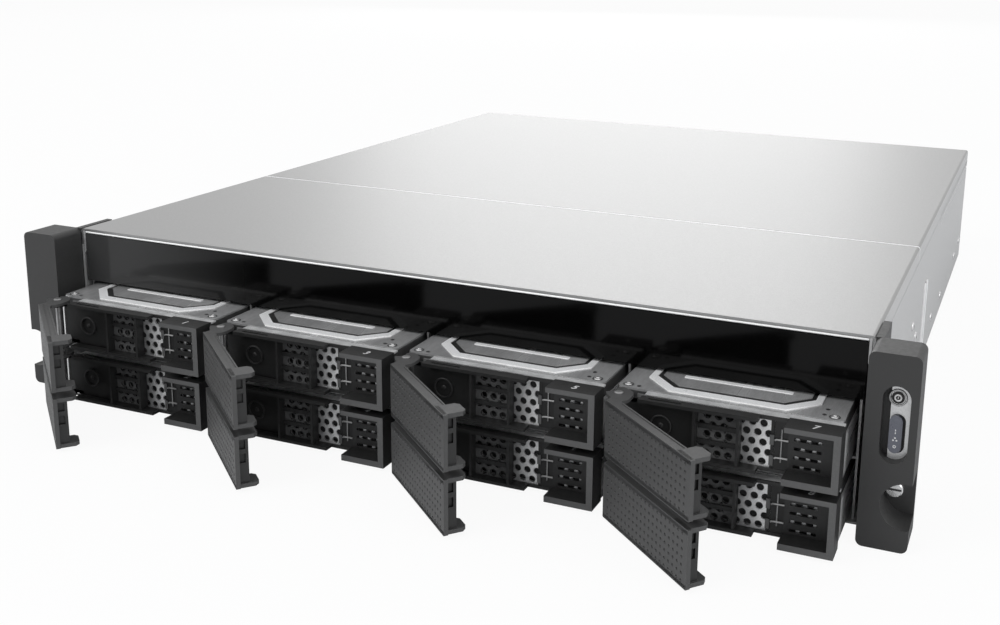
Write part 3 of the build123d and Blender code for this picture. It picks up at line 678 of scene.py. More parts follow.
def lever_mesh():
    """Tray lever about its pin, closed: dimpled plate, flanges with the claw, ears and slotted web."""
    solid = Solid()
    front = -LEVER_FRONT
    first = (LEVER_START + DIMPLE_FIRST[0], DIMPLE_FIRST[1])
    dimples = []
    for column in range(DIMPLES[0]):
        for row in range(DIMPLES[1]):
            centre = (first[0] + column * DIMPLE_PITCH[0], first[1] + row * DIMPLE_PITCH[1])
            dimples.append((circle(DIMPLE_RADIUS, centre, 8), DIMPLE_DEPTH, 0.45))
    plate = rounded((LEVER_START, LEVER_REACH), (0, TRAY_HEIGHT), 0.5, 2)
    # Painted light and shade: rounded edges with edge=1 take light grey as highlights, here and below;
    # dimple walls and floors take the dark dimple shade
    solid.prism(plate, "y", front, front + LEVER_SKIN, pits=dimples, soften=0.28, edge=1, pit_look=2)
    reach, start, step = LEVER_REACH - 0.2, 64.5, front + 1.8
    claw = [
        (5.6, 4.0), (3.8, 5.4), (1.6, 6.2), (-1.6, 6.1), (-4.4, 5.5), (-5.4, 3.8), (-5.4, 2.0), (-2.8, 0.6),
        (-2.8, -1.8), (-4.0, -4.4), (-1.2, -5.4), (3.4, -5.9),
    ]
    flange = [(LEVER_START, front), (reach, front), (reach, step), (start, step), (start, -4.6)]
    flange += [(11.5, -4.6), (9.4, -3.8), (9.4, -1.0), (8.2, 1.0), *claw]
    bore = circle(1.58, (0, 0), 20)
    for low in (0.5, 23.9):
        solid.prism(flange, "z", low, low + 1.5, holes=[bore], soften=0.2, edge=1)
    solid.prism(rounded((-5.5, -4.6), (25.2, TRAY_HEIGHT), 0.3, 2), "x", 12.5, start, soften=0.12, edge=1)
    ear = [(64.0, front + 0.2), (74.0, front + 0.2), (74.0, -0.8), (72.2, 1.0), (65.8, 1.0), (64.0, -0.8)]
    for low in (0, TRAY_HEIGHT - 2.0):
        solid.prism(ear, "z", low, low + 2.0, soften=0.28, edge=1)
    windows = [(rectangle((-8.0, -4.8), z), 1.2, 0.97) for z in WINDOWS_Z]
    # The web is in the dark dimple shade and its windows' walls in the tray's painted shade: painted shade
    web = rectangle((front + 0.5, -3.4), (1.8, TRAY_HEIGHT - 1.8))
    solid.prism(web, "x", 72.9, 71.4, pits=windows, look=2, soften=0.12, edge=1, pit_look=3)
    turn = Matrix.Translation((*PIVOT, 0)) @ Matrix.Rotation(math.radians(-LEVER_ANGLE), 4, "Z")
    looks = ["lever_plastic", "lever_painted_highlight", "dimple_shade", "tray_painted_shade"]
    return solid.turned(turn).mesh("lever_shape", looks)


def bezel_mesh():
    """Moulded tray front: header, ribbed recess, pivot lugs, ring boss and thumb box."""
    solid = Solid()
    sweep = [on_circle(10.4, PIVOT, math.radians(angle)) for angle in range(-18, 12, 5)]
    strip = [
        (sweep[0][0], HEADER_FRONT), (CATCH_X, HEADER_FRONT), (CATCH_X, BEZEL_DEPTH - 1.0),
        (THUMB_X, BEZEL_DEPTH - 1.0), (THUMB_X, BEZEL_DEPTH), *reversed(sweep[1:]),
    ]
    slot = rounded((19.4, 34.7), (7.6, 9.0), 0.5, 3)
    # Rounded edges with edge=1 are painted light grey as highlights, here and below
    solid.prism(strip, "z", HEADER_LOW, HEADER_TOP, holes=[slot], soften=0.25, edge=1)
    solid.prism(strip, "z", 0.3, 1.9, soften=0.25, edge=1)
    back = (BEZEL_DEPTH - 1.2, BEZEL_DEPTH)
    # Back walls of the left cell, in the darker plastic as painted shade
    solid.box((PIVOT[0] + 3.6, RIBS_X[0] + 0.5), back, (2.3, HEADER_LOW + 0.2), look=3)
    solid.box((PIVOT[0] + 10.4, RIBS_X[0] + 0.5), back, (0.4, 2.4), look=3)
    for x in RIBS_X:
        solid.box((x, x + 1.2), (6.2, BEZEL_DEPTH), (0.4, HEADER_LOW + 0.3), soften=0.22, edge=1)
    cell_x, cell_z = (RIBS_X[0] + 0.5, RIBS_X[1] + 0.5), (0.6, HEADER_LOW + 0.3)
    for z in (8.2, 15.4):
        solid.box(cell_x, (9.6, 10.8), (z, z + 2.0), soften=0.25)
        for x in (47.2, 53.6):
            solid.box((x, x + 0.9), (10.0, 11.4), (z - 1.0, z + 3.0), soften=0.2)
    for z in (3.4, 12.8):
        solid.box((73.6, 75.4), (10.3, BEZEL_DEPTH), (z, z + 4.6), look=2, soften=0.3, edge=1)
    # Post behind the hook posts, in the darker plastic as painted shade
    solid.box((73.8, 75.2), (11.1, BEZEL_DEPTH), (0.4, HEADER_LOW + 0.2), look=3)
    ring = [(5.0, 10.5), (5.0, 9.6), (4.8, 9.45), (4.4, 9.45), (4.2, 9.6), (4.2, 10.5)]
    solid.lathe(ring, RING, "y", 40)
    solid.lathe([(0, 9.9), (0.8, 9.9), (1.2, 10.2), (1.2, 10.6), (0, 10.6)], RING, "y", 20)
    # Holed plate in front of the sled's holes in the middle cell, set there as painted shade to darken the
    # cell
    grid = [hole for hole in perforations() if RIBS_X[0] + 3.5 < hole[0][0] < RIBS_X[1] - 1.0]
    solid.prism(rectangle(cell_x, cell_z), "y", 10.9, 11.7, holes=grid, look=2)
    # Wall behind the hooks, in the darker plastic as painted shade
    solid.box((CATCH_X + 6.4, THUMB_X + 0.3), (10.9, 11.7), cell_z, look=3)
    for low, high in ((2.3, 4.1), (21.8, 23.6)):
        lug = circle(3.6, PIVOT, 28)
        lug = [(x, min(y, BEZEL_DEPTH)) for x, y in lug if y < BEZEL_DEPTH + 0.6]
        solid.prism(lug, "z", low, high, holes=[circle(1.5, PIVOT, 20)], soften=0.15)
        solid.box((0.4, PIVOT[0] + 12.4), (10.4, BEZEL_DEPTH), (low, high))
    thumb_box(solid)
    # Painted light and shade: the lighter grey stays only on faces turned to the front, tops and sides take
    # the darker tray plastic
    for axis in (0, 2):
        solid.repaint(axis, 2, 0)
    return solid.mesh("bezel_shape", ["tray_plastic", "tray_painted_highlight", "grey_plastic_and_painted_light", "tray_painted_shade"])


def thumb_box(solid):
    """Recess for the thumb at the right of the tray, open to the left, with air slots in its back."""
    inner_top = TRAY_HEIGHT - THUMB_TOP
    back = BEZEL_DEPTH - 1.2
    side = TRAY_WIDTH - THUMB_WALL
    border = [
        (THUMB_X, 0), (TRAY_WIDTH, 0), (TRAY_WIDTH, TRAY_HEIGHT), (THUMB_X, TRAY_HEIGHT),
        (THUMB_X, inner_top), (side, inner_top), (side, THUMB_WALL), (THUMB_X, THUMB_WALL),
    ]
    # The thumb box is in the lighter grey, kept on its front faces only as painted light; its rounded edges
    # take the painted highlight
    solid.prism(border, "y", 0, BEZEL_DEPTH, look=2, soften=0.35, edge=1)
    vents = [rounded((84.0, 95.7), around(z, 0.7), 0.3, 2) for z in VENTS_Z]
    wall = rectangle((THUMB_X + 0.1, TRAY_WIDTH - 0.2), (0.3, TRAY_HEIGHT - 0.3))
    solid.prism(wall, "y", back, BEZEL_DEPTH - 0.2, holes=vents)


def perforations():
    """Staggered round holes of the sled's upstand, from the ribbed cell to behind the thumb box."""
    holes = []
    for column in range(12):
        for row, z in enumerate(HOLES_Z):
            x = 43.45 + column * HOLE_PITCH + (0 if row % 2 else HOLE_PITCH / 2)
            if not 76 < x < 82 and x < 98:
                holes.append(circle(HOLE_RADIUS, (x, z), 18))
    return holes


def sled_mesh():
    """Bent zinc tray with a perforated upstand."""
    solid = Solid()
    left, right = SLED_X
    front, bend, rear = SLED_FRONT, DRIVE_Y[0], DRIVE_Y[1]
    step = 13.3
    wall = [(left, 0.0), (right, 0.0), (right, SLED_TOP), (step, SLED_TOP), (step, 0.9), (left, 0.9)]
    rimmed = {"soften": 0.14, "segments": 1, "edge": 1, "rim": "low"}
    # Perforated upstand, painted darker towards the lever as shade by its finish
    solid.prism(wall, "y", front, front + GAUGE, holes=perforations(), look=2, **rimmed)
    solid.box((16.5, right), (front, 16.7), (24.4, SLED_TOP), soften=0.2, edge=1)
    window = rounded((22.9, 82.1), (41.9, 130.0), 4.0, 5)
    solid.prism(rectangle(SLED_X, (bend, rear)), "z", 0, GAUGE, holes=[window], soften=0.1)
    solid.box((step, right), (front, 17.1), (0, GAUGE), soften=0.1)
    slots = [rounded((y, y + 34.0), (10.0, 13.0), 1.4, 4) for y in (30.0, 95.0)]
    for x, start in ((left, bend), (right - GAUGE, front)):
        side = rounded((start, rear), (0, 19.0), 0.8, 2)
        solid.prism(side, "x", x, x + GAUGE, holes=slots, soften=0.15, edge=1)
    head = ((0, 0.15), (1.6, 0.1), (2.4, -0.3), (0, -0.3))
    for y in (26.0, 86.0, 146.0):
        for x, outward in ((left, -1), (right, 1)):
            profile = [(radius, x + outward * height) for radius, height in head]
            solid.lathe(profile, (y, 6.3), "x", 16, look=1)
    return solid.mesh("sled_shape", ["sled_zinc", "pin_steel", "sled_front_painted_shade"])


def drive_mesh():
    """Disk drive: cast base, lid with a cut-cornered groove, and the lid's screws; the lid's raised frame
    and edges are painted near white as highlights, its groove, screw rings and three spots dark as shade.
    """
    solid = Solid()
    solid.prism(rounded(DRIVE_X, DRIVE_Y, 2.4, 4), "z", 0.8, 24.6, look=2, soften=0.4)
    lid = rounded((1.9, 103.1), (17.2, 163.8), 2.4, 4)
    solid.prism(lid, "z", 24.5, LID_TOP, look=3, soften=0.45, edge=0)
    outer = octagon((12.0, 91.0), (19.6, 155.0), 13.0)
    channel = octagon((15.2, 87.8), (24.4, 151.8), 11.2)
    inner = octagon((17.3, 85.7), (27.4, 149.0), 10.4)
    base = 25.3
    # Raised frame in the near-white metal as painted highlight; its groove floor in the dark metal as
    # painted shade
    solid.prism(outer, "z", base, 26.0, holes=[channel], soften=0.3, segments=3)
    solid.prism(octagon((12.6, 90.4), (20.2, 154.4), 12.8), "z", base, 25.6, look=1)
    solid.prism(inner, "z", base, 25.9, look=3, soften=0.25, edge=0)
    solid.prism(rounded((27.0, 77.0), (38.2, 41.0), 0.4, 3), "z", 25.6, 26.15, soften=0.24, segments=3)
    head = [(0, 25.6), (0.7, 25.6), (0.8, 26.0), (1.5, 25.95), (1.9, 25.7), (1.9, base), (0, base)]
    # Screws with dark rings round them, and three dark spots on the lid: painted shade
    ring = rectangle((1.8, 2.5), (25.4, 25.55))
    for y in (21.0, 90.0, 158.5):
        for x in (6.0, 98.6):
            solid.lathe(head, (x, y), "z", 18, look=4)
            solid.lathe(ring, (x, y), "z", 18, look=1)
    for spot in ((11.2, 20.4), (94.0, 22.0), (94.4, 28.4)):
        solid.lathe(rectangle((0, 1.0), (base, 25.55)), spot, "z", 16, look=1)
    looks = ["drive_metal", "dark_metal_and_painted_shade", "drive_cast", "drive_panel", "screw_steel"]
    return solid.mesh("drive_shape", looks)


def hardware_mesh():
    """Pivot pin with a domed head, and the wire catch with its two hooks."""
    solid = Solid()
    head = [(2.1, 25.45), (2.1, 25.75), (1.8, 26.0), (1.0, 26.05), (0, 26.05)]
    solid.lathe([(0, 0.5), (1.5, 0.5), (1.5, 25.45), *head], PIVOT, "z", 24, look=1)
    y = 10.3
    for z in HOOK_Z:
        solid.wire([(81.6, y, z), (78.0, y, z), (76.4, y, z - 0.1), (75.9, y, z - 0.5)], 0.46, 8, look=1)
    solid.wire([(78.6, y + 0.2, 5.4), (78.6, y + 0.2, 20.4)], 0.34, 8, look=1)
    return solid.mesh("hardware_shape", ["pin_steel", "cage_zinc"])


def number_mesh(number):
    """Small slanted numeral, laid flat."""
    curve = bpy.data.curves.new(f"numeral_{number}", "FONT")
    curve.body = str(number)
    curve.size = NUMERAL_SIZE * MM
    curve.shear = 0.25
    curve.offset = 0.12 * MM
    curve.extrude = 0.02 * MM
    curve.align_x = "CENTER"
    curve.align_y = "CENTER"
    data = final_mesh(add_object(f"numeral_{number}", curve))
    bpy.data.curves.remove(curve)
    data.name = f"numeral_shape_{number}"
    data.materials.clear()
    data.materials.append(LOOKS["mark_pale"])
    return data


def make_bays():
    """The five pieces of each bay, and its number."""
    shapes = {
        "lever": (lever_mesh(), "lever_plastic"),
        "bezel": (bezel_mesh(), "tray_plastic"),
        "sled": (sled_mesh(), "sled_zinc"),
        "drive": (drive_mesh(), "drive_metal"),
        "hardware": (hardware_mesh(), "pin_steel"),
    }
    for number, origin in bay_origins():
        for kind, (data, slot) in shapes.items():
            body = f"lever_{number}" if kind == "lever" else f"tray_{number}"
            piece(f"bay_{number}_{kind}_look", data, body, [f"bay_{number}_{kind}"], origin)
        place = [a + b for a, b in zip(origin, (*NUMERAL, TRAY_HEIGHT + 0.01))]
        piece(f"bay_{number}_numeral", number_mesh(number), f"tray_{number}", (), place)


# Case


def cover_section(lip, inset=0.0):
    """Section of a cover across the case, with bent corners, as (x, z)."""
    outer, inner = 1.8, 0.6
    half, top = HALF_WIDTH - inset, CASE_HEIGHT - inset
    loop = [(-half, CASE_HEIGHT - lip)]
    x, z = half - outer, top - outer
    arc = [math.radians(a) for a in range(0, 91, 15)]
    loop += [(-x - outer * math.cos(a), z + outer * math.sin(a)) for a in arc]
    loop += [(x + outer * math.sin(a), z + outer * math.cos(a)) for a in arc]
    loop += [(half, CASE_HEIGHT - lip), (half - SHEET, CASE_HEIGHT - lip)]
    loop += [(x + inner * math.cos(a), z + inner * math.sin(a)) for a in arc]
    loop += [(-x - inner * math.sin(a), z + inner * math.cos(a)) for a in arc]
    loop += [(-half + SHEET, CASE_HEIGHT - lip)]
    return loop


def make_covers():
    """Front cover with its folded edge, the strip in the seam, and the rear cover with deeper lips; fold,
    front rim and strip are painted bright as highlights.
    """
    front = Solid()
    section = cover_section(LIP_FRONT)
    # The front rim is rounded in the bright steel: painted highlight
    front.prism(section, "y", 0, SEAM_Y - SEAM_WIDTH, soften=0.5, segments=3, edge=1, rim="low")
    fold_x = HALF_WIDTH - 3.0
    low, high = COVER_Z - 0.25 - SHEET, COVER_Z - 0.25
    r = HEM_RADIUS
    turns = [math.radians(angle) for angle in range(0, 181, 20)]
    fold = [(r - r * math.sin(a), low + r + r * math.cos(a)) for a in turns]
    fold += [(HEM_DEPTH, low), (HEM_DEPTH, COVER_Z), (HEM_DEPTH - SHEET, COVER_Z), (HEM_DEPTH - SHEET, high)]
    # The fold is in the bright steel: painted highlight
    front.prism(fold, "x", -fold_x, fold_x, look=1)
    front.repaint(0, 0, 2)
    looks = ["cover_steel", "bright_steel_and_painted_highlight", "case_steel"]
    show("front_cover", front, looks)
    rear = Solid()
    rear.prism(section, "y", SEAM_END, CASE_DEPTH, soften=0.2)
    # Strip in the seam, in the bright steel: painted highlight
    rear.prism(section, "y", *SEAM_PAINTED_HIGHLIGHT, look=1, soften=0.25)
    lip_z = (CASE_HEIGHT - LIP_REAR, CASE_HEIGHT - LIP_FRONT + 0.5)
    for side in (-1, 1):
        x = sorted((side * HALF_WIDTH, side * (HALF_WIDTH - SHEET)))
        rear.box(x, (LIP_STEP, CASE_DEPTH), lip_z, soften=0.15)
    rear.repaint(0, 0, 2)
    show("rear_cover", rear, looks)


def make_fascia():
    """Glossy bar over the trays."""
    solid = Solid()
    # Its finish carries a painted reflection at the left end
    solid.box((-FASCIA_X, FASCIA_X), (0, 9.0), (FASCIA_LOW, FASCIA_HIGH), soften=0.6, segments=3)
    show("fascia", solid, ["fascia_gloss"])


def ear_solid(recess):
    """Right-hand ear: deep cap with a finger notch round the rack screw, and the strip beside the case."""
    solid = Solid()
    ear_x, ear_z, corner = (HALF_WIDTH, EAR_OUT), (0.0, CASE_HEIGHT), 3.0
    outline = rounded(ear_x, ear_z, corner, 6)
    reach = math.acos((EAR_OUT - NOTCH[0]) / NOTCH_RADIUS)
    turns = [reach + (math.tau - 2 * reach) * i / 40 for i in range(41)]
    notch = [on_circle(NOTCH_RADIUS, NOTCH, angle) for angle in turns]
    cut = [*outline, *reversed(notch)]
    hole = [capsule(11.6, 34.4, PANEL, 24)] if recess else []
    front = -EAR_DEPTH
    middle = PANEL_FLOOR if recess else -EAR_PLATE
    # The rounded front rim takes the lighter look: painted highlight
    solid.prism(cut, "y", front, middle, holes=hole, soften=0.6, segments=3, edge=1, rim="low")
    if recess:
        solid.prism(cut, "y", middle, -EAR_PLATE)
    solid.prism(outline, "y", -EAR_PLATE, 0)
    solid.box((HALF_WIDTH, HALF_WIDTH + 3.5), (-0.5, 24.0), ear_z, soften=0.35)
    return solid


def make_ears():
    """Both ears; the right one holds the control panel."""
    looks = ["ear_plastic", "ear_painted_highlight"]
    show("ear_right", ear_solid(True), looks)
    show("ear_left", ear_solid(False).turned(Matrix.Scale(-1, 4, (1, 0, 0))), looks)


def make_controls():
    """Plate, button and lens of the control panel."""
    plate = Solid()
    loop = [(max(x, 229.4), z) for x, z in capsule(11.4, 34.2, PANEL, 24)]
    clean = [p for i, p in enumerate(loop) if p != loop[i - 1]]
    pocket = capsule(6.6, 17.4, (LENS[0] + 0.55, LENS[1]), 16)
    plate.prism(clean, "y", PLATE_FRONT, PANEL_FLOOR, holes=[circle(2.66, BUTTON, 32), pocket], soften=0.2)
    collar = [(3.0, -15.2), (3.2, -15.45), (3.6, -15.45), (3.9, -15.1), (3.9, -14.6), (3.0, -14.6)]
    plate.lathe(collar, BUTTON, "y", 40, look=1)
    show("control_plate", plate, ["bezel_silver", "button_silver"], node="control_bezel")
    button = Solid()
    front = BUTTON_FRONT
    body = [(2.6, front + 0.3), (2.6, PANEL_FLOOR), (0, PANEL_FLOOR)]
    face = [(0, front + 0.6), (2.0, front + 0.6), (2.15, front + 0.1), (2.45, front + 0.1)]
    button.lathe(face + body, BUTTON, "y", 40, look=1)
    ring = [(0.95, front + 0.7), (0.95, front + 0.1), (1.1, front), (1.5, front), (1.65, front + 0.1)]
    button.lathe([*ring, (1.65, front + 0.7)], BUTTON, "y", 40)
    mark_z = (BUTTON[1] - 0.5, BUTTON[1] + 0.6)
    button.box(around(BUTTON[0], 0.16), (front + 0.2, front + 0.7), mark_z)
    show("power_button", button, ["bezel_silver", "dark_metal_and_painted_shade"], "power_button")
    lens = Solid()
    lens.prism(capsule(5.4, 16.7, LENS, 20), "y", LENS_FRONT, PANEL_FLOOR, soften=0.5, segments=3)
    raised = (-16.62, -16.5)
    for z in (51.9, 53.1):
        lens.box(around(LENS[0], 0.2), raised, (z, z + 0.8), look=1)
    for dx, z in ((-0.7, 49.0), (0.7, 49.0), (0.0, 50.1)):
        lens.lathe(rectangle((0, 0.4), raised), (LENS[0] + dx, z), "y", 12, look=1)
    lens.lathe(rectangle((0.35, 0.7), raised), (LENS[0], 46.2), "y", 16, look=1)
    show("indicator_lens", lens, ["lens_blue", "mark_pale"])


def screw_head(solid, centre, x, outward):
    """Domed side screw with a cross in it, standing on a wall."""
    dome = ((0, -0.2), (2.8, 0.0), (2.75, 0.35), (2.3, 0.75), (1.4, 0.95), (0, 1.0))
    solid.lathe([(radius, x + outward * height) for radius, height in dome], centre, "x", 20)
    for across in ((1.5, 0.28), (0.28, 1.5)):
        y, z = ((centre[i] - across[i], centre[i] + across[i]) for i in (0, 1))
        # The cross is drawn as dark bars on the dome: painted shade in its recess
        solid.box(sorted((x + outward * 0.6, x + outward * 0.995)), y, z, look=1)


def make_screws():
    """Side screws and the slotted rack screws."""
    solid = Solid()
    for side in (-1, 1):
        for centre in SIDE_SCREWS:
            screw_head(solid, centre, side * HALF_WIDTH, side)
        front = -EAR_PLATE - 2.6
        centre = (side * RACK_SCREW[0], RACK_SCREW[1])
        shank = [(0, 10.0), (2.3, 10.0), (2.5, 9.6), (2.5, 0), (2.2, 0), (2.2, -EAR_PLATE)]
        head = [(3.8, -EAR_PLATE), (3.8, front + 0.5), (3.3, front), (0, front)]
        solid.lathe(shank + head, centre, "y", 32)
        # The slot is a dark bar on the head: painted shade
        slot_z = around(centre[1], 0.5)
        solid.box(around(centre[0], 3.2), (front - 0.005, front + 0.4), slot_z, look=1)
    show("screws", solid, ["screw_steel", "dark_metal_and_painted_shade"])


def make_side_slots():
    """Liners in the bright steel round the tall slot in each side wall, with a rib down the middle in the
    dark metal.
    """
    for name, side in (("left", -1), ("right", 1)):
        solid = Solid()
        x = sorted((side * (HALF_WIDTH - 0.6), side * (HALF_WIDTH + 0.7)))
        for y in LINERS_Y:
            loop = rounded((y, y + LINER_WIDTH), SLOT_Z, 2.9, 6)
            solid.prism(loop, "x", *x, soften=0.6, segments=3)
        loop = rounded((SLOT_Y - 5.0, SLOT_Y + 7.0), (SLOT_Z[0] + 1, SLOT_Z[1] - 1), 2.0, 4)
        base = sorted((side * (HALF_WIDTH - 0.5), side * (HALF_WIDTH + 0.05)))
        solid.prism(loop, "x", *base, look=1)
        data = solid.mesh(f"slot_liner_shape_{name}", ["bright_steel_and_painted_highlight", "dark_metal_and_painted_shade"])
        piece(f"slot_liner_{name}", data, "case")


# Rear and inside


def make_rear_panel():
    """Rear wall with a field of six-sided vents, blank slot covers and the walls of the power supply bay."""
    solid = Solid()
    y = (CASE_DEPTH - SHEET, CASE_DEPTH)
    bay_x = (PSU_X - PSU_WIDTH / 2 - 0.3, PSU_X + PSU_WIDTH / 2 + 0.3)
    holes = [rectangle(bay_x, (z - 0.3, z + PSU_HEIGHT + 0.3)) for z in PSU_LOW]
    half = JACK_WIDTH / 2 + 0.3
    for x in JACKS_X:
        holes.append(rectangle((x - half, x + half), (BOARD_TOP - 0.3, BOARD_TOP + 29.3)))
    for row in range(VENTS[1]):
        z = VENT_FIRST[1] + row * VENT_PITCH * 0.866
        for column in range(VENTS[0]):
            x = VENT_FIRST[0] + column * VENT_PITCH + (VENT_PITCH / 2 if row % 2 else 0)
            holes.append(circle(VENT_RADIUS, (x, z), 6, math.pi / 6))
    solid.prism(rectangle((-218.2, 218.2), (0, COVER_Z)), "y", *y, holes=holes)
    for index in range(2):
        x = -196.0 + index * 20.3
        solid.prism(rounded((x, x + 18.5), (11.0, 75.0), 1.2, 3), "y", y[1], y[1] + 0.8, soften=0.25, look=1)
        for z in (22.0, 34.0, 46.0, 58.0):
            solid.box((x + 5.0, x + 13.5), (y[1] + 0.7, y[1] + 1.3), (z, z + 3.0), soften=0.28, look=1)
    bay_y = (y[1] - PSU_DEPTH, y[1])
    for x in (bay_x[0] - 1.0, bay_x[1]):
        solid.box((x, x + 1.0), (bay_y[0], y[0]), (SHEET, COVER_Z - 0.3))
    solid.box(bay_x, (bay_y[0], y[0]), (PSU_LOW[1] - 1.3, PSU_LOW[1] - 0.3))
    show("rear_panel", solid, ["case_steel", "cage_zinc"])


def psu_mesh():
    """Slide-in power supply: case, mains inlet with three pins, ringed grille, latch and bow handle."""
    solid = Solid()
    half, mid = PSU_WIDTH / 2, PSU_HEIGHT / 2
    inlet = octagon((-24.0, 0.0), around(mid, 8.5), 3.0)
    grille = (12.0, mid)
    openings = []
    for inner, outer in ((2.6, 5.0), (6.0, 8.4), (9.4, 11.8)):
        for quarter in range(4):
            angles = [math.tau * (quarter + 0.06 + 0.88 * i / 8) / 4 for i in range(9)]
            ring = [on_circle(outer, grille, angle) for angle in angles]
            openings.append(ring + [on_circle(inner, grille, angle) for angle in reversed(angles)])
    width, chamber = (-half, half), (PSU_REAR - 15.2, PSU_REAR - 1.2)
    recess = PSU_REAR - 15.0
    solid.prism(rectangle(width, (0, PSU_HEIGHT)), "y", PSU_REAR - PSU_DEPTH, recess, soften=0.4)
    for x in ((-half, -24.2), (0.2, 0.4), (half - 1.0, half)):
        solid.box(x, chamber, (0.2, PSU_HEIGHT - 0.2))
    for z in ((0.0, 1.0), (PSU_HEIGHT - 1.0, PSU_HEIGHT)):
        solid.box(width, chamber, z)
    cover = rounded(width, (0, PSU_HEIGHT), 0.8, 3)
    solid.prism(cover, "y", PSU_REAR - 1.5, PSU_REAR, holes=[inlet, *openings], soften=0.2)
    sleeve = octagon((-25.0, 1.0), around(mid, 9.5), 3.4)
    solid.prism(sleeve, "y", recess, PSU_REAR - 0.4, holes=[inlet], look=1)
    pin_y = (PSU_REAR - 15.5, PSU_REAR - 7.0)
    for x, z in ((-18.5, -2.0), (-12.0, 2.0), (-5.5, -2.0)):
        solid.box(around(x, 1.0), pin_y, around(mid + z, 2.0), look=2, soften=0.3)
    bow = [(-17.5, -0.5), (-17.5, 18.0), (-16.2, 22.0), (-12.5, 23.5)]
    bow += [(-x, y) for x, y in reversed(bow)]
    solid.wire([(x, PSU_REAR + y, 4.5) for x, y in bow], 2.4, 12, look=1)
    latch_z = (PSU_HEIGHT - 5.6, PSU_HEIGHT - 3.4)
    solid.box((16.0, 24.5), (PSU_REAR - 0.5, PSU_REAR + 6.0), latch_z, look=3, soften=0.6)
    lamp_spot = [(0, PSU_REAR + 0.4), (1.3, PSU_REAR + 0.3), (1.5, PSU_REAR - 0.3), (0, PSU_REAR - 0.3)]
    solid.lathe(lamp_spot, (-22.5, PSU_HEIGHT - 5.0), "y", 16, look=4)
    return solid.mesh("psu_shape", ["psu_zinc", "chip_black", "pin_steel", "grey_plastic_and_painted_light", "mark_pale"])


def make_psus():
    """Both power supply modules."""
    data = psu_mesh()
    for index, z in enumerate(PSU_LOW):
        name = f"psu_{index + 1}"
        piece(name + "_look", data, name, [name], (PSU_X, 0, z))


def make_mainboard():
    """Circuit board with heatsink, memory, chips and the rear sockets."""
    solid = Solid()
    solid.box((-206.0, 138.0), (226.0, 512.0), (7.2, BOARD_TOP), soften=0.1)
    fin, step = 2.0, SINK_X[1] - SINK_X[0] - 2.0
    low, high = BOARD_TOP + 6.0, BOARD_TOP + SINK_TOP
    sink = [(SINK_X[0], BOARD_TOP)]
    for index in range(FINS):
        x = SINK_X[0] + index * step / (FINS - 1)
        sink += [(x, high), (x + fin, high), (x + fin, low)]
        if index < FINS - 1:
            sink.append((x + step / (FINS - 1), low))
    sink.append((SINK_X[1], BOARD_TOP))
    solid.prism(sink, "y", 295.0, 365.0, look=1, soften=0.2)
    for x in (-150.0, -140.0):
        solid.box(around(x, 3.2), (290.0, 423.0), (BOARD_TOP, BOARD_TOP + 8.0), look=2, soften=0.3)
        solid.box(around(x, 1.2), (291.0, 422.0), (BOARD_TOP + 3.0, BOARD_TOP + 31.0), soften=0.1)
        for y in range(298, 412, 14):
            solid.box((x + 1.1, x + 2.2), (y, y + 10.0), (BOARD_TOP + 12.0, BOARD_TOP + 26.0), look=2)
    for x, y, size in ((20, 300, 26), (70, 340, 18), (40, 430, 14), (100, 280, 12), (-20, 460, 16)):
        solid.box((x, x + size), (y, y + size), (BOARD_TOP, BOARD_TOP + 1.8), look=2, soften=0.2)
    z, half = BOARD_TOP, JACK_WIDTH / 2
    for x in JACKS_X:
        ports = [rectangle(around(x, 6.0), (z + 16.0, z + 25.0))]
        ports += [rectangle(around(x, 6.6), around(z + mid, 2.6)) for mid in (5.0, 12.2)]
        shell = rectangle((x - half, x + half), (z, z + JACK_HEIGHT))
        solid.prism(shell, "y", 506.0, CASE_DEPTH, holes=ports, look=1, soften=0.25, rim="high")
        solid.prism(shell, "y", 499.0, 506.5, look=2)
        for mid in (5.0, 12.2):
            solid.box(around(x, 5.4), (506.0, 517.0), (z + mid - 0.2, z + mid + 1.2), look=3)
    show("mainboard", solid, ["board_green", "psu_zinc", "chip_black", "mark_pale"])


# Stage


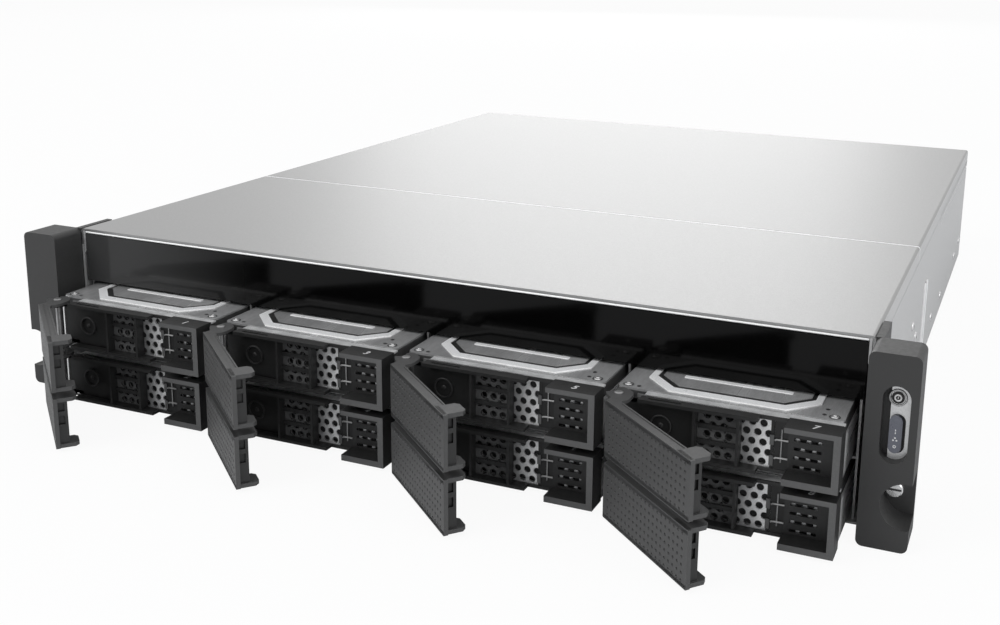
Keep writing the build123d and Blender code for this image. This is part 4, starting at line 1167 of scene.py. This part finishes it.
def make_stage():
    """Pale floor that keeps a soft shadow."""
    data = bpy.data.meshes.new("floor_shape")
    reach = (-FLOOR_HALF, FLOOR_HALF)
    data.from_pydata([(x, y, 0) for x, y in rectangle(reach, reach)], [], [(0, 1, 2, 3)])
    floor = add_object("floor", data)
    floor.location.z = -FLOOR_DROP
    material = bpy.data.materials.new("floor_look")
    material.use_nodes = True
    tree = material.node_tree
    nodes, links = tree.nodes, tree.links
    shader = nodes["Principled BSDF"]
    set_inputs(shader, {"Base Color": (0.95, 0.95, 0.95, 1), "Roughness": 0.9, "Specular IOR Level": 0.1})
    glow = add_node(nodes, "ShaderNodeEmission", {"Color": (1, 1, 1, 1)})
    path = nodes.new("ShaderNodeLightPath")
    share = add_node(nodes, "ShaderNodeMath", {1: FLOOR_GLOW})
    share.operation = "MULTIPLY"
    links.new(path.outputs["Is Camera Ray"], share.inputs[0])
    surfaces = (shader.outputs["BSDF"], glow.outputs["Emission"])
    blend_shaders(tree, share.outputs["Value"], *surfaces, nodes["Material Output"])
    data.materials.append(material)


def make_world():
    """White surroundings for the eye and for gloss, dimmer for the light on the object."""
    world = bpy.data.worlds.new("surroundings")
    bpy.context.scene.world = world
    world.use_nodes = True
    tree = world.node_tree
    nodes = tree.nodes
    shade = nodes["Background"]
    set_inputs(shade, {"Color": (0.95, 0.97, 1.0, 1), "Strength": SKY_LIGHT})
    white = add_node(nodes, "ShaderNodeBackground", {"Color": (1, 1, 1, 1), "Strength": 1.0})
    path = nodes.new("ShaderNodeLightPath")
    seen = path.outputs["Is Camera Ray"]
    for kind in ("Is Glossy Ray", "Is Transmission Ray"):
        either = nodes.new("ShaderNodeMath")
        either.operation = "MAXIMUM"
        tree.links.new(seen, either.inputs[0])
        tree.links.new(path.outputs[kind], either.inputs[1])
        seen = either.outputs["Value"]
    surfaces = (shade.outputs["Background"], white.outputs["Background"])
    blend_shaders(tree, seen, *surfaces, nodes["World Output"])


def lamp(name, place, target, size, power):
    """Square soft lamp that looks at a point."""
    data = bpy.data.lights.new(name, "AREA")
    data.size = size
    data.energy = power
    obj = add_object(name, data)
    obj.location = place
    obj.rotation_euler = (Vector(target) - Vector(place)).to_track_quat("-Z", "Y").to_euler()


def make_camera():
    """Camera at the photograph's viewing angle."""
    data = bpy.data.cameras.new("view")
    data.lens = VIEW_LENS
    data.sensor_width = 36.0
    data.shift_x, data.shift_y = VIEW_SHIFT
    camera = add_object("view", data)
    camera.location = VIEW_PLACE
    camera.rotation_euler = Euler([math.radians(angle) for angle in VIEW_TURN], "XYZ")
    bpy.context.scene.camera = camera


bpy.context.scene.view_settings.view_transform = "Standard"
make_camera()
make_world()
make_stage()
for lamp_name, lamp_values in LAMPS.items():
    lamp(lamp_name, *lamp_values)
dress_frame()
make_bays()
make_covers()
make_fascia()
make_ears()
make_controls()
make_screws()
make_side_slots()
make_rear_panel()
make_psus()
make_mainboard()
